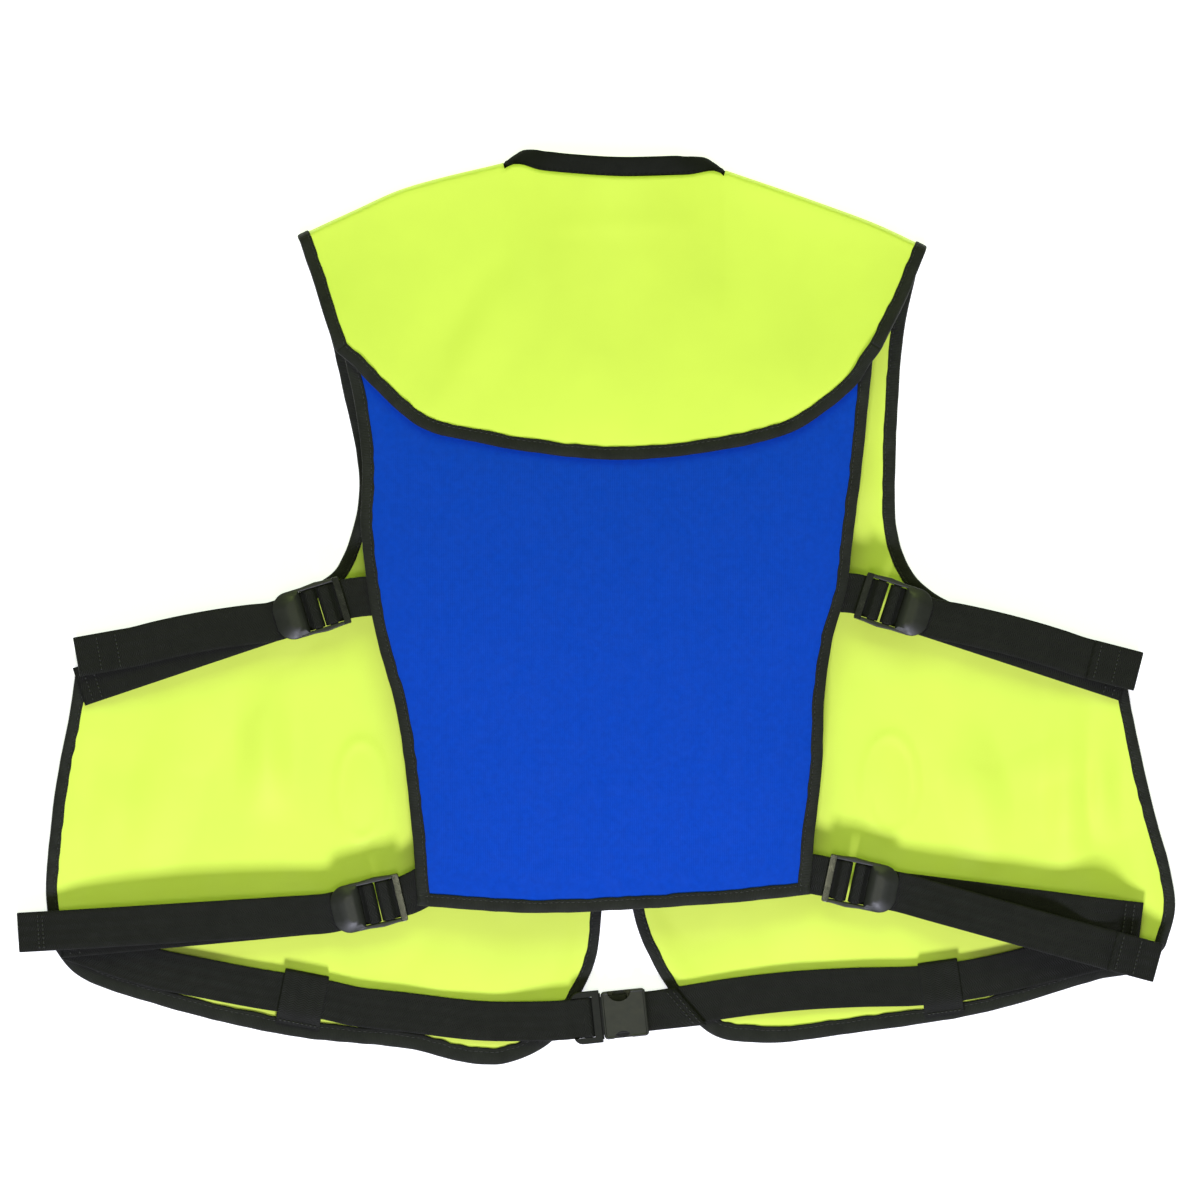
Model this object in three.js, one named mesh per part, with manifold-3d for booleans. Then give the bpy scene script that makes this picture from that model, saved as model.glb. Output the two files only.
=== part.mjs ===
// Snorkel vest lying on its front with its back up. Millimetres, +Z up, +Y toward the neck.
// Every cloth piece is a sheet of its own thickness, every webbing a ribbon, every edge tape a folded channel.

import * as THREE from "three";
import { mergeVertices } from "three/addons/utils/BufferGeometryUtils.js";
import Module from "manifold-3d";

const wasm = await Module();
wasm.setup();

// Thicknesses, reaches and clearances
const SHELL_THICK = 3; // two plies of coated fabric with the empty bladder between them
const NEOPRENE_THICK = 3; // back panel and collar
const SEAM_GAP = 0.4; // space left between sewn pieces
const TAPE_THICK = 1.1; // edge tape, folded over a panel edge
const FRONT_TAPE_REACH = 5.6; // cover of the tape on the front panels
const BACK_TAPE_REACH = 7.2; // cover of the tape on the yoke hem and the back panel
const COLLAR_HEIGHT = 13;
const WEBBING_WIDTH = 25;
const WEBBING_THICK = 1.5;
const LAYER_RISE = WEBBING_THICK + SEAM_GAP; // from one webbing layer to the next
const TAIL_HEM = 30; // webbing folded back on itself at a strap end

// Heights of the mid-surfaces above the floor
const TAPE_HALF_HEIGHT = SHELL_THICK / 2 + SEAM_GAP + TAPE_THICK;
const EDGE_LEVEL = TAPE_HALF_HEIGHT; // a front panel at its taped edges
const FLOOR_LEVEL = SHELL_THICK / 2; // a front panel where it lies on the floor
const FOLD_RADIUS = { arm: 9, neck: 6 }; // shoulder fold at its two ends
const FOLD_LAP = 10; // from the fold to the shoulder seam on the front
const NECK_RISE = 11; // back neck above the ends of the shoulder folds
const BACK_LEVEL = { low: 23, high: 29, crown: 6 };
const YOKE_LIFT = 7.6; // yoke hem above the back panel that it covers

// Cells of each sheet
const SHOULDER_CELLS = 6;
const NECK_CELLS = 10;
const YOKE_ROWS = 8;
const FOLD_STEPS = 6;
const FRONT_COLUMNS = 9;
const ARMHOLE_CELLS = 16;
const SIDE_CELLS = 7;
const NECK_EDGE_CELLS = 5;
const COLLAR_EDGE_CELLS = 4; // cells of the neck edge that carry the collar
const CENTRE_CELLS = ARMHOLE_CELLS + SIDE_CELLS - NECK_EDGE_CELLS;
const BACK_COLUMNS = 12;
const BACK_ROWS = 14;

// Outlines of the panel edges in plan

const YOKE_HEM = [
  { x: -162, y: 161 }, { x: -151, y: 152 }, { x: -139, y: 139.5 }, { x: -108.5, y: 113.5 },
  { x: -79, y: 105.5 }, { x: -41, y: 98.5 }, { x: 15, y: 93.5 }, { x: 72, y: 98.5 },
  { x: 109.5, y: 106.5 }, { x: 128, y: 113.5 }, { x: 161.5, y: 139 }, { x: 170.5, y: 152 }, { x: 178, y: 162 },
];
const YOKE_SIDE_LEFT = [{ x: -162, y: 161 }, { x: -166.5, y: 175 }, { x: -174.5, y: 200 }, { x: -182, y: 224.5 }];
const YOKE_SIDE_RIGHT = [{ x: 178, y: 162 }, { x: 184.5, y: 175 }, { x: 196.5, y: 200 }, { x: 203, y: 217.5 }];
const SHOULDER_LEFT = [
  { x: -182, y: 224.5 }, { x: -148, y: 241 }, { x: -121, y: 253.5 }, { x: -95, y: 261.5 }, { x: -56, y: 271.5 },
];
const NECK_BACK = [
  { x: -56, y: 271.5 }, { x: -44, y: 275 }, { x: -22, y: 273 }, { x: 15, y: 270.5 }, { x: 53, y: 271.5 },
  { x: 67, y: 272 }, { x: 78, y: 267 },
];
const SHOULDER_RIGHT = [
  { x: 78, y: 267 }, { x: 107, y: 257 }, { x: 145, y: 242.5 }, { x: 173, y: 231.5 }, { x: 203, y: 217.5 },
];

const BACK_LEFT = [
  { x: -153, y: 150 }, { x: -150, y: 130 }, { x: -145, y: 87 }, { x: -146, y: 55 }, { x: -143, y: 24 },
  { x: -137, y: -14 }, { x: -123.5, y: -65 }, { x: -115, y: -128 }, { x: -110.5, y: -186 },
];
const BACK_RIGHT = [
  { x: 171.5, y: 150 }, { x: 170, y: 130 }, { x: 165.5, y: 87 }, { x: 159, y: 36 }, { x: 156, y: 11 },
  { x: 148, y: -16 }, { x: 142, y: -58 }, { x: 141, y: -98 }, { x: 136, y: -145 }, { x: 133.5, y: -179 },
];
const BACK_BOTTOM = [
  { x: -110.5, y: -186 }, { x: -79, y: -188.5 }, { x: -35, y: -190.5 }, { x: 15, y: -188.5 },
  { x: 91, y: -183.5 }, { x: 133.5, y: -179 },
];
const BACK_TOP = [
  { x: -153, y: 150 }, { x: -140, y: 147 }, { x: -105, y: 122 }, { x: -41, y: 109 }, { x: 15, y: 104 },
  { x: 72, y: 109 }, { x: 126, y: 123 }, { x: 160, y: 146 }, { x: 171.5, y: 150 },
];

// The front panels differ: the vest lies a little askew.
const FRONTS = {
  left: {
    armhole: [
      { x: -166, y: 172 }, { x: -158, y: 137 }, { x: -149, y: 95 }, { x: -148, y: 70 }, { x: -152, y: 48 },
      { x: -163, y: 23 }, { x: -179, y: 12 }, { x: -205, y: 1 }, { x: -249, y: -15 }, { x: -326, y: -40 },
    ],
    side: [
      { x: -326, y: -40 }, { x: -330, y: -66 }, { x: -337.5, y: -105 }, { x: -342, y: -140 },
      { x: -345, y: -178 }, { x: -341, y: -213 },
    ],
    hem: [
      { x: -341, y: -213 }, { x: -326, y: -230 }, { x: -268, y: -250 }, { x: -192, y: -267.5 },
      { x: -117, y: -276 }, { x: -79, y: -286 }, { x: -57, y: -286 }, { x: -29, y: -273 }, { x: -17, y: -256 },
    ],
    centre: [
      { x: 0.5, y: 165 }, { x: 2.5, y: 68 }, { x: 3.5, y: -58 }, { x: 2.5, y: -192 }, { x: -1.5, y: -223 },
      { x: -17, y: -256 },
    ],
    neckBend: { x: -28, y: 212 },
    swells: [
      { x: -214, y: -92, long: 48, wide: 20, turn: 96, rise: 4 },
      { x: -272, y: -120, long: 60, wide: 26, turn: 78, rise: 3 },
      { x: -148, y: -116, long: 46, wide: 24, turn: 88, rise: 2.5 },
    ],
  },
  right: {
    armhole: [
      { x: 193, y: 172 }, { x: 189, y: 124 }, { x: 187.5, y: 74 }, { x: 188.5, y: 49 }, { x: 197.5, y: 23 },
      { x: 212, y: 8.5 }, { x: 240, y: -5 }, { x: 298, y: -29 }, { x: 333.5, y: -48 },
    ],
    side: [
      { x: 333.5, y: -48 }, { x: 339, y: -77 }, { x: 350.5, y: -128 }, { x: 359.5, y: -160 }, { x: 364, y: -190 },
      { x: 357.5, y: -214 },
    ],
    hem: [
      { x: 357.5, y: -214 }, { x: 341, y: -227.5 }, { x: 318, y: -231.5 }, { x: 242, y: -253 }, { x: 167, y: -265.5 },
      { x: 110, y: -273 }, { x: 76, y: -269 }, { x: 54, y: -250 },
    ],
    centre: [
      { x: 21.5, y: 165 }, { x: 20.5, y: 68 }, { x: 21.5, y: -58 }, { x: 24.5, y: -189.5 }, { x: 36.5, y: -222.5 },
      { x: 54, y: -250 },
    ],
    neckBend: { x: 50, y: 212 },
    swells: [
      { x: 302, y: -104, long: 50, wide: 20, turn: 92, rise: 4 },
      { x: 240, y: -120, long: 56, wide: 24, turn: 98, rise: 3 },
      { x: 176, y: -112, long: 48, wide: 24, turn: 88, rise: 2.5 },
    ],
  },
};

// Side straps. The bar is the one that the strap turns over; slope is the fall of the buckle outward.
// Tab: where the short webbing is sewn under the back panel. Load: sewn end on the front panel.
// Tail: free end; tip is its height. Arch is how far the strap rises on its way, bow how far the tail bends aside.
const SIDE_STRAPS = [
  {
    key: "upper", side: "left", bar: [-177, -1, 20.5], slope: 17, tab: [-127, 8.5, 22], load: [-325, -50, 7.4],
    tail: [-325, -31, 15.8], tip: 13.4, arch: 2, bow: 3.5, hem: -1,
  },
  {
    key: "upper", side: "right", bar: [186, 1.5, 20.5], slope: 18, tab: [144, 10, 22], load: [334, -47, 7.4],
    tail: [340, -40, 14], tip: 12.4, arch: 2, bow: -2, hem: 1,
  },
  {
    key: "lower", side: "left", bar: [-141, -186, 17], slope: 13, tab: [-100, -171, 18.4], load: [-337, -208, 9.6],
    tail: [-362, -204.5, 15.6], tip: 9, arch: 4, bow: 0, hem: -1,
  },
  {
    key: "lower", side: "right", bar: [165, -173.5, 17], slope: 12, tab: [123, -165, 18.4], load: [343, -198, 9.6],
    tail: [352, -223, 14.5], tip: 10.5, arch: 4, bow: 0, hem: 1,
  },
];

// Ladder-lock, along its own length from the strap bar outward, heights from the middle of the bar
const LADDER_LOCK = {
  barHalf: 2.5, barRadius: 1.5, tabBar: -10.5, endBar: -18.5, endBarHalf: 2.2, endBarLow: 0.9, endBarHigh: 4,
  railIn: 12.9, railOut: 15.2, railLow: -1.6, railHigh: 3.2, railFrom: -20.5, railTo: 12,
  leverFrom: 6, leverShoulder: 15, leverTo: 25, leverLow: 0.7, leverThick: 2.6, leverTilt: 7, exit: 28,
};

// Waist belt and its side-release buckle
const BELT_LEVEL = 7.6;
const BELT_LEFT = [
  { x: -318, y: -214 }, { x: -281, y: -226 }, { x: -249, y: -233 }, { x: -211, y: -240 }, { x: -174, y: -245.5 },
  { x: -155, y: -250 }, { x: -117, y: -254 }, { x: -79, y: -259 }, { x: -60, y: -260.5 },
];
const BELT_RIGHT = [
  { x: 326, y: -214 }, { x: 286, y: -223 }, { x: 242, y: -233 }, { x: 204, y: -238 }, { x: 167, y: -239 },
  { x: 129, y: -241 }, { x: 91, y: -245 }, { x: 68, y: -248.5 },
];
const RELEASE_BUCKLE = {
  x: 3.5, y: -257, z: 10.8, turn: 6, plugLength: 18.5, plugHalf: 16.5, rim: 3.2, plugBar: -9, mouth: 3.2,
  socketLength: 29, socketHalf: 15, socketHigh: 4.6, socketWall: 1.6, bayLength: 19, windowFrom: 8, windowTo: 17.5,
  endSlotFrom: 22.4, endBar: 27, endBarHalf: 2, prongIn: 8.2, prongOut: 12, prongLength: 17, prongHalf: 2.4, keelHalf: 1.6,
};
const BELT_LOOPS = [
  { side: "left", x: -184, y: -243.6, turn: -11, width: 28 },
  { side: "right", x: 217, y: -236.4, turn: 8, width: 25 },
];
const LOOP_UNDER_LEVEL = 5.6; // loop between the panel and the belt
const LOOP_FOOT = 20; // from the belt's middle to the loop's foot on the hem tape
const LOOP_FOOT_LEVEL = 7.4;

const FINISH = {
  shell: { color: 0xdef95f, roughness: 0.5 },
  neoprene: { color: 0x0d43c4, roughness: 0.85 },
  collar: { color: 0x242624, roughness: 0.85 },
  tape: { color: 0x2b2e26, roughness: 0.8 },
  webbing: { color: 0x242523, roughness: 0.75 },
  plastic: { color: 0x2a2c2a, roughness: 0.4 },
};

const UP = new THREE.Vector3(0, 0, 1);
const vest = new THREE.Group();
vest.name = "snorkel_vest";

/** Add one named piece with its own material. */
function addPiece(name, geometry, finish) {
  const mesh = new THREE.Mesh(geometry, new THREE.MeshStandardMaterial(FINISH[finish]));
  mesh.name = name;
  vest.add(mesh);
}

/** Points at equal lengths along a smooth plan curve through the rows of a table. */
function edgePoints(rows, cells) {
  const curve = new THREE.CatmullRomCurve3(rows.map(({ x, y }) => new THREE.Vector3(x, y, 0)), false, "centripetal");
  return curve.getSpacedPoints(cells);
}

/** One run of points from several that follow each other. */
function joinRuns(...runs) {
  return runs.flatMap((run, k) => (k === 0 ? run : run.slice(1)));
}

/** Fill a four-sided outline with a grid: rows run from first to last, columns from left to right. */
function fillGrid(first, last, left, right) {
  const rows = left.length - 1;
  const columns = first.length - 1;
  return left.map((_, r) => first.map((_, c) => {
    const v = r / rows;
    const u = c / columns;
    const point = new THREE.Vector3();
    point.addScaledVector(first[c], 1 - v).addScaledVector(last[c], v);
    point.addScaledVector(left[r], 1 - u).addScaledVector(right[r], u);
    point.addScaledVector(first[0], -(1 - u) * (1 - v)).addScaledVector(first[columns], -u * (1 - v));
    return point.addScaledVector(last[0], -(1 - u) * v).addScaledVector(last[columns], -u * v);
  }));
}

/** Closed geometry from points and triangles, turned right side out. */
function closedGeometry(points, triangles) {
  const volume = triangles.reduce((sum, [a, b, c]) => {
    return sum + points[a].dot(new THREE.Vector3().crossVectors(points[b], points[c]));
  }, 0);
  const faces = volume < 0 ? triangles.map(([a, b, c]) => [a, c, b]) : triangles;
  const geometry = new THREE.BufferGeometry().setFromPoints(points);
  geometry.setIndex(faces.flat());
  return geometry;
}

/** Sheet of even thickness on a grid of mid-surface points; empty grid places have no cloth. */
function sheetSolid(grid, thick) {
  const rows = grid.length;
  const columns = grid[0].length;
  const key = (r, c) => r * columns + c;
  const normals = new Map();
  const cells = [];
  for (let r = 0; r + 1 < rows; r += 1) {
    for (let c = 0; c + 1 < columns; c += 1) {
      const corners = [[r, c], [r, c + 1], [r + 1, c + 1], [r + 1, c]];
      if (corners.some(([i, j]) => !grid[i][j])) continue;
      const [p, q, s, t] = corners.map(([i, j]) => grid[i][j]);
      const normal = new THREE.Vector3().subVectors(s, p).cross(new THREE.Vector3().subVectors(t, q)).normalize();
      const keys = corners.map(([i, j]) => key(i, j));
      keys.forEach((k) => normals.set(k, (normals.get(k) ?? new THREE.Vector3()).add(normal)));
      cells.push(keys);
    }
  }
  const points = [];
  const place = new Map();
  for (const [k, normal] of normals) {
    const middle = grid[Math.floor(k / columns)][k % columns];
    place.set(k, points.length);
    normal.normalize();
    points.push(middle.clone().addScaledVector(normal, thick / 2), middle.clone().addScaledVector(normal, -thick / 2));
  }
  const triangles = [];
  const rim = new Map();
  for (const keys of cells) {
    const [a, b, c, d] = keys.map((k) => place.get(k));
    triangles.push([a, b, c], [a, c, d], [a + 1, c + 1, b + 1], [a + 1, d + 1, c + 1]);
    for (const [from, to] of [[a, b], [b, c], [c, d], [d, a]]) {
      if (!rim.delete(`${to},${from}`)) rim.set(`${from},${to}`, [from, to]);
    }
  }
  for (const [from, to] of rim.values()) triangles.push([from, from + 1, to + 1], [from, to + 1, to]);
  return closedGeometry(points, triangles);
}

/** Solid swept along stations { at, out, up }: the section is a list of [out, up] corners, cut into quads. */
function sweepSolid(stations, section, quads) {
  const count = section.length;
  const points = stations.flatMap(({ at, out, up }) => section.map(([o, u]) => {
    return at.clone().addScaledVector(out, o).addScaledVector(up, u);
  }));
  const triangles = [];
  for (let s = 0; s + 1 < stations.length; s += 1) {
    for (let k = 0; k < count; k += 1) {
      const a = s * count + k;
      const b = s * count + ((k + 1) % count);
      triangles.push([a, b, b + count], [a, b + count, a + count]);
    }
  }
  const end = (stations.length - 1) * count;
  for (const [a, b, c, d] of quads) {
    triangles.push([a, c, b], [a, d, c], [end + a, end + b, end + c], [end + a, end + c, end + d]);
  }
  return closedGeometry(points, triangles);
}

/** Direction of travel at each point of a run. */
function tangents(points) {
  return points.map((_, k) => {
    const before = points[Math.max(k - 1, 0)];
    const after = points[Math.min(k + 1, points.length - 1)];
    return after.clone().sub(before).normalize();
  });
}

/** Part of a sheet edge between two trims, as places on the edge with the cloth just inside of them. */
function trimEdge(edge, inside, trimStart, trimEnd) {
  const lengths = [0];
  for (let k = 1; k < edge.length; k += 1) lengths.push(lengths[k - 1] + edge[k].distanceTo(edge[k - 1]));
  const stop = lengths.at(-1) - trimEnd;
  const placeAt = (length) => {
    const k = Math.min(Math.max(lengths.findIndex((value) => value >= length), 1), edge.length - 1);
    const share = (length - lengths[k - 1]) / (lengths[k] - lengths[k - 1]);
    return { at: edge[k - 1].clone().lerp(edge[k], share), inner: inside[k - 1].clone().lerp(inside[k], share) };
  };
  const between = lengths.filter((length) => length > trimStart + 0.5 && length < stop - 0.5);
  return [trimStart, ...between, stop].map(placeAt);
}

/** Tape folded over a sheet edge. */
function edgeTape(edge, inside, reach, trimStart = 0, trimEnd = 0) {
  const places = trimEdge(edge, inside, trimStart, trimEnd);
  const along = tangents(places.map(({ at }) => at));
  const stations = places.map(({ at, inner }, k) => {
    const out = at.clone().sub(inner);
    out.addScaledVector(along[k], -out.dot(along[k])).normalize();
    return { at, out, up: new THREE.Vector3().crossVectors(along[k], out) };
  });
  const slot = SHELL_THICK / 2 + SEAM_GAP;
  const half = slot + TAPE_THICK;
  const outer = SEAM_GAP + TAPE_THICK;
  const section = [
    [-reach, half], [outer, half], [outer, -half], [-reach, -half],
    [-reach, -slot], [SEAM_GAP, -slot], [SEAM_GAP, slot], [-reach, slot],
  ];
  return sweepSolid(stations, section, [[0, 1, 6, 7], [1, 2, 5, 6], [2, 3, 4, 5]]);
}

/** Webbing along a run of points; across is the direction of its width at each point. */
function webbing(points, across, width = WEBBING_WIDTH) {
  const along = tangents(points);
  const stations = points.map((at, k) => {
    const out = across[k].clone().addScaledVector(along[k], -across[k].dot(along[k])).normalize();
    return { at, out, up: new THREE.Vector3().crossVectors(along[k], out) };
  });
  const [w, t] = [width / 2, WEBBING_THICK / 2];
  return sweepSolid(stations, [[-w, t], [w, t], [w, -t], [-w, -t]], [[0, 1, 2, 3]]);
}

/** Smooth step from 0 to 1. */
function ease(share) {
  return THREE.MathUtils.smoothstep(share, 0, 1);
}

/** Rise of the back from its sides to its middle, 0 to 1. */
function crownAt(share) {
  return 4 * share * (1 - share);
}

/** Yoke from its hem up over the shoulder folds to the shoulder seams on the front. */
function yokeGrid() {
  const top = joinRuns(
    edgePoints(SHOULDER_LEFT, SHOULDER_CELLS), edgePoints(NECK_BACK, NECK_CELLS),
    edgePoints(SHOULDER_RIGHT, SHOULDER_CELLS),
  );
  const hem = edgePoints(YOKE_HEM, top.length - 1);
  const grid = fillGrid(hem, top, edgePoints(YOKE_SIDE_LEFT, YOKE_ROWS), edgePoints(YOKE_SIDE_RIGHT, YOKE_ROWS));
  const neckFrom = SHOULDER_CELLS;
  const neckTo = SHOULDER_CELLS + NECK_CELLS;
  const foldRadius = (c) => {
    const share = Math.min(Math.min(c, top.length - 1 - c) / SHOULDER_CELLS, 1);
    return THREE.MathUtils.lerp(FOLD_RADIUS.arm, FOLD_RADIUS.neck, share);
  };
  grid.forEach((row, r) => row.forEach((point, c) => {
    const neckShare = THREE.MathUtils.clamp((c - neckFrom) / NECK_CELLS, 0, 1);
    const hemLevel = BACK_LEVEL.high + YOKE_LIFT + BACK_LEVEL.crown * crownAt(c / (row.length - 1));
    const topLevel = EDGE_LEVEL + 2 * foldRadius(c) + NECK_RISE * Math.sin(Math.PI * neckShare);
    point.z = THREE.MathUtils.lerp(hemLevel, topLevel, ease(r / YOKE_ROWS));
  }));
  const foldWay = top.map((point, c) => {
    const [from, to] = c <= neckFrom ? [0, neckFrom] : [neckTo, top.length - 1];
    const before = top[Math.max(c - 1, from)];
    const after = top[Math.min(c + 1, to)];
    return new THREE.Vector3(before.y - after.y, after.x - before.x, 0).normalize();
  });
  const crest = grid.at(-1);
  const onShoulder = (c) => c <= neckFrom || c >= neckTo;
  for (let step = 1; step <= FOLD_STEPS; step += 1) {
    const angle = (Math.PI * step) / FOLD_STEPS;
    grid.push(crest.map((point, c) => onShoulder(c) && point.clone()
      .addScaledVector(foldWay[c], foldRadius(c) * Math.sin(angle))
      .addScaledVector(UP, foldRadius(c) * (Math.cos(angle) - 1))));
  }
  const under = grid.at(-1);
  grid.push(under.map((point, c) => point && point.clone().addScaledVector(foldWay[c], -FOLD_LAP)));
  return grid;
}

/** Soft ridge, 1 along its spine and 0 beyond its reach. */
function swellAt({ x, y, long, wide, turn, rise }, point) {
  const angle = THREE.MathUtils.degToRad(turn);
  const [dx, dy] = [point.x - x, point.y - y];
  const s = (dx * Math.cos(angle) + dy * Math.sin(angle)) / long;
  const t = (dy * Math.cos(angle) - dx * Math.sin(angle)) / wide;
  return rise * Math.max(0, 1 - s * s - t * t) ** 2;
}

/** Front panel from the shoulder seam to the hem, columns from the armhole side to the front edge. */
function frontGrid(front, seam) {
  const neckEdge = [seam.at(-1), front.neckBend, front.centre[0]];
  const outer = joinRuns(edgePoints([seam[0], ...front.armhole], ARMHOLE_CELLS), edgePoints(front.side, SIDE_CELLS));
  const inner = joinRuns(edgePoints(neckEdge, NECK_EDGE_CELLS), edgePoints(front.centre, CENTRE_CELLS));
  const top = Array.from({ length: FRONT_COLUMNS + 1 }, (_, c) => {
    const place = (c / FRONT_COLUMNS) * (seam.length - 1);
    const k = Math.min(Math.floor(place), seam.length - 2);
    return seam[k].clone().lerp(seam[k + 1], place - k).setZ(0);
  });
  const grid = fillGrid(top, edgePoints(front.hem, FRONT_COLUMNS), outer, inner);
  grid.forEach((row, r) => row.forEach((point, c) => {
    const fromEdge = Math.min(r, grid.length - 1 - r, c, row.length - 1 - c);
    const swell = Math.max(...front.swells.map((ridge) => swellAt(ridge, point)));
    point.z = fromEdge < 2 ? EDGE_LEVEL : FLOOR_LEVEL + swell;
  }));
  return grid;
}

/** Back panel from its bottom edge to the edge under the yoke. */
function backGrid() {
  const grid = fillGrid(
    edgePoints(BACK_BOTTOM, BACK_COLUMNS), edgePoints(BACK_TOP, BACK_COLUMNS),
    edgePoints([...BACK_LEFT].reverse(), BACK_ROWS), edgePoints([...BACK_RIGHT].reverse(), BACK_ROWS),
  );
  grid.forEach((row, r) => row.forEach((point, c) => {
    const level = THREE.MathUtils.lerp(BACK_LEVEL.low, BACK_LEVEL.high, r / BACK_ROWS);
    point.z = level + BACK_LEVEL.crown * crownAt(c / BACK_COLUMNS);
  }));
  return grid;
}

/** Column of a grid, or the part of it between two rows. */
function column(grid, c, from = 0, to = grid.length) {
  return grid.slice(from, to).map((row) => row.at(c));
}

/** Collar band: up one neck edge, over the shoulder fold, along the back neck and down the other side. */
function collarSolid(yoke, fronts) {
  const neckFrom = SHOULDER_CELLS;
  const neckTo = SHOULDER_CELLS + NECK_CELLS;
  const lean = { left: new THREE.Vector3(0.86, 0.5, 0), right: new THREE.Vector3(-0.86, 0.5, 0) };
  const back = new THREE.Vector3(0, 0.95, 0.31);
  const crest = YOKE_ROWS;
  const foldFrom = crest + 2; // the band leaves the fold a little below its crest
  const run = [];
  const climb = (side, c) => [
    ...column(fronts[side], -1, 0, COLLAR_EDGE_CELLS + 1).reverse(),
    ...column(yoke, c, foldFrom, yoke.length - 1).reverse(),
  ].map((at) => ({ at, out: lean[side] }));
  run.push(...climb("left", neckFrom));
  for (let c = neckFrom + 1; c < neckTo; c += 1) {
    const side = c - neckFrom < NECK_CELLS / 2 ? "left" : "right";
    const fromEnd = Math.min(c - neckFrom, neckTo - c) - 1;
    const out = lean[side].clone().lerp(back, ease(fromEnd / 2)).normalize();
    run.push({ at: yoke[crest][c], out });
  }
  run.push(...climb("right", neckTo).reverse());
  const along = tangents(run.map(({ at }) => at));
  const stations = run.map(({ at, out }, k) => {
    const square = out.clone().addScaledVector(along[k], -0.5 * out.dot(along[k])).normalize();
    return { at, out: square, up: new THREE.Vector3().crossVectors(along[k], square).normalize() };
  });
  const t = NEOPRENE_THICK / 2;
  const base = SEAM_GAP + 0.6;
  return sweepSolid(stations, [[base, t], [COLLAR_HEIGHT, t], [COLLAR_HEIGHT, -t], [base, -t]], [[0, 1, 2, 3]]);
}

/** Half-turn of webbing round a bar, from angle to angle in degrees, as [along, height] places. */
function turnRound(centre, radius, from, to, steps) {
  return Array.from({ length: steps + 1 }, (_, k) => {
    const angle = THREE.MathUtils.degToRad(THREE.MathUtils.lerp(from, to, k / steps));
    return [centre[0] + radius * Math.cos(angle), centre[1] + radius * Math.sin(angle)];
  });
}

/** Own directions of a side strap: outward along the buckle, and across its width. */
function strapFrame({ side, slope, bar }) {
  const angle = THREE.MathUtils.degToRad(slope);
  const along = new THREE.Vector3(side === "left" ? -Math.cos(angle) : Math.cos(angle), -Math.sin(angle), 0);
  const across = new THREE.Vector3().crossVectors(UP, along);
  const origin = new THREE.Vector3(...bar);
  const place = ([a, h]) => origin.clone().addScaledVector(along, a).addScaledVector(UP, h);
  return { along, across, place };
}

/** Distance of the middle of a webbing from the middle of a bar that it turns round. */
const WRAP = LADDER_LOCK.barRadius + SEAM_GAP + WEBBING_THICK / 2 - 0.1;
const BAR_FLAT = LADDER_LOCK.barHalf - LADDER_LOCK.barRadius;

/** Points from one place to another that rise by arch and bend aside by bow on the way, without the first place. */
function bowedRun(from, to, arch, steps, bow = 0) {
  const aside = new THREE.Vector3().crossVectors(to.clone().sub(from), UP).normalize();
  return Array.from({ length: steps }, (_, k) => {
    const share = (k + 1) / steps;
    const point = from.clone().lerp(to, share).addScaledVector(UP, arch * crownAt(share));
    return point.addScaledVector(aside, bow * crownAt(share));
  });
}

/** Adjustable strap: sewn end, run to the buckle, turn over the bar, free tail, folded end. */
function sideStrap(row) {
  const { across, place } = strapFrame(row);
  const { exit } = LADDER_LOCK;
  const loadEnd = new THREE.Vector3(...row.load);
  const loadExit = place([exit, -WRAP]);
  const load = [loadExit, ...bowedRun(loadExit, loadEnd, row.arch, 8)].reverse();
  const tailLow = -WRAP + LAYER_RISE;
  const turn = [
    [15, -WRAP], [6, -WRAP], ...turnRound([-BAR_FLAT, 0], WRAP, 270, 90, 6), ...turnRound([BAR_FLAT, 0], WRAP, 90, 30, 2),
    [4.5, tailLow + 0.6], [6, tailLow], [15, tailLow], [exit, tailLow],
  ].map(place);
  const tip = new THREE.Vector3(row.tail[0], row.tail[1], row.tip);
  const hemStart = turn.at(-1).clone().sub(tip).setZ(0).normalize().multiplyScalar(TAIL_HEM + 6).add(tip).setZ(row.tail[2]);
  const tail = [...bowedRun(turn.at(-1), hemStart, row.arch, 7, row.bow), tip];
  const along = tip.clone().sub(hemStart).normalize();
  const tailAcross = new THREE.Vector3().crossVectors(UP, along).normalize();
  const over = new THREE.Vector3().crossVectors(along, tailAcross).multiplyScalar(row.hem);
  const fold = [
    ...turnRound([0, LAYER_RISE / 2], LAYER_RISE / 2, -45, 90, 3), [-TAIL_HEM, LAYER_RISE],
  ].map(([a, h]) => tip.clone().addScaledVector(along, a).addScaledVector(over, h));
  const loadAcross = new THREE.Vector3().crossVectors(UP, loadEnd.clone().sub(loadExit).setZ(0)).normalize();
  const widths = [
    ...load.map(() => loadAcross), ...turn.map(() => across), ...tail.map(() => tailAcross), ...fold.map(() => tailAcross),
  ];
  return webbing([...load, ...turn, ...tail, ...fold], widths);
}

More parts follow.
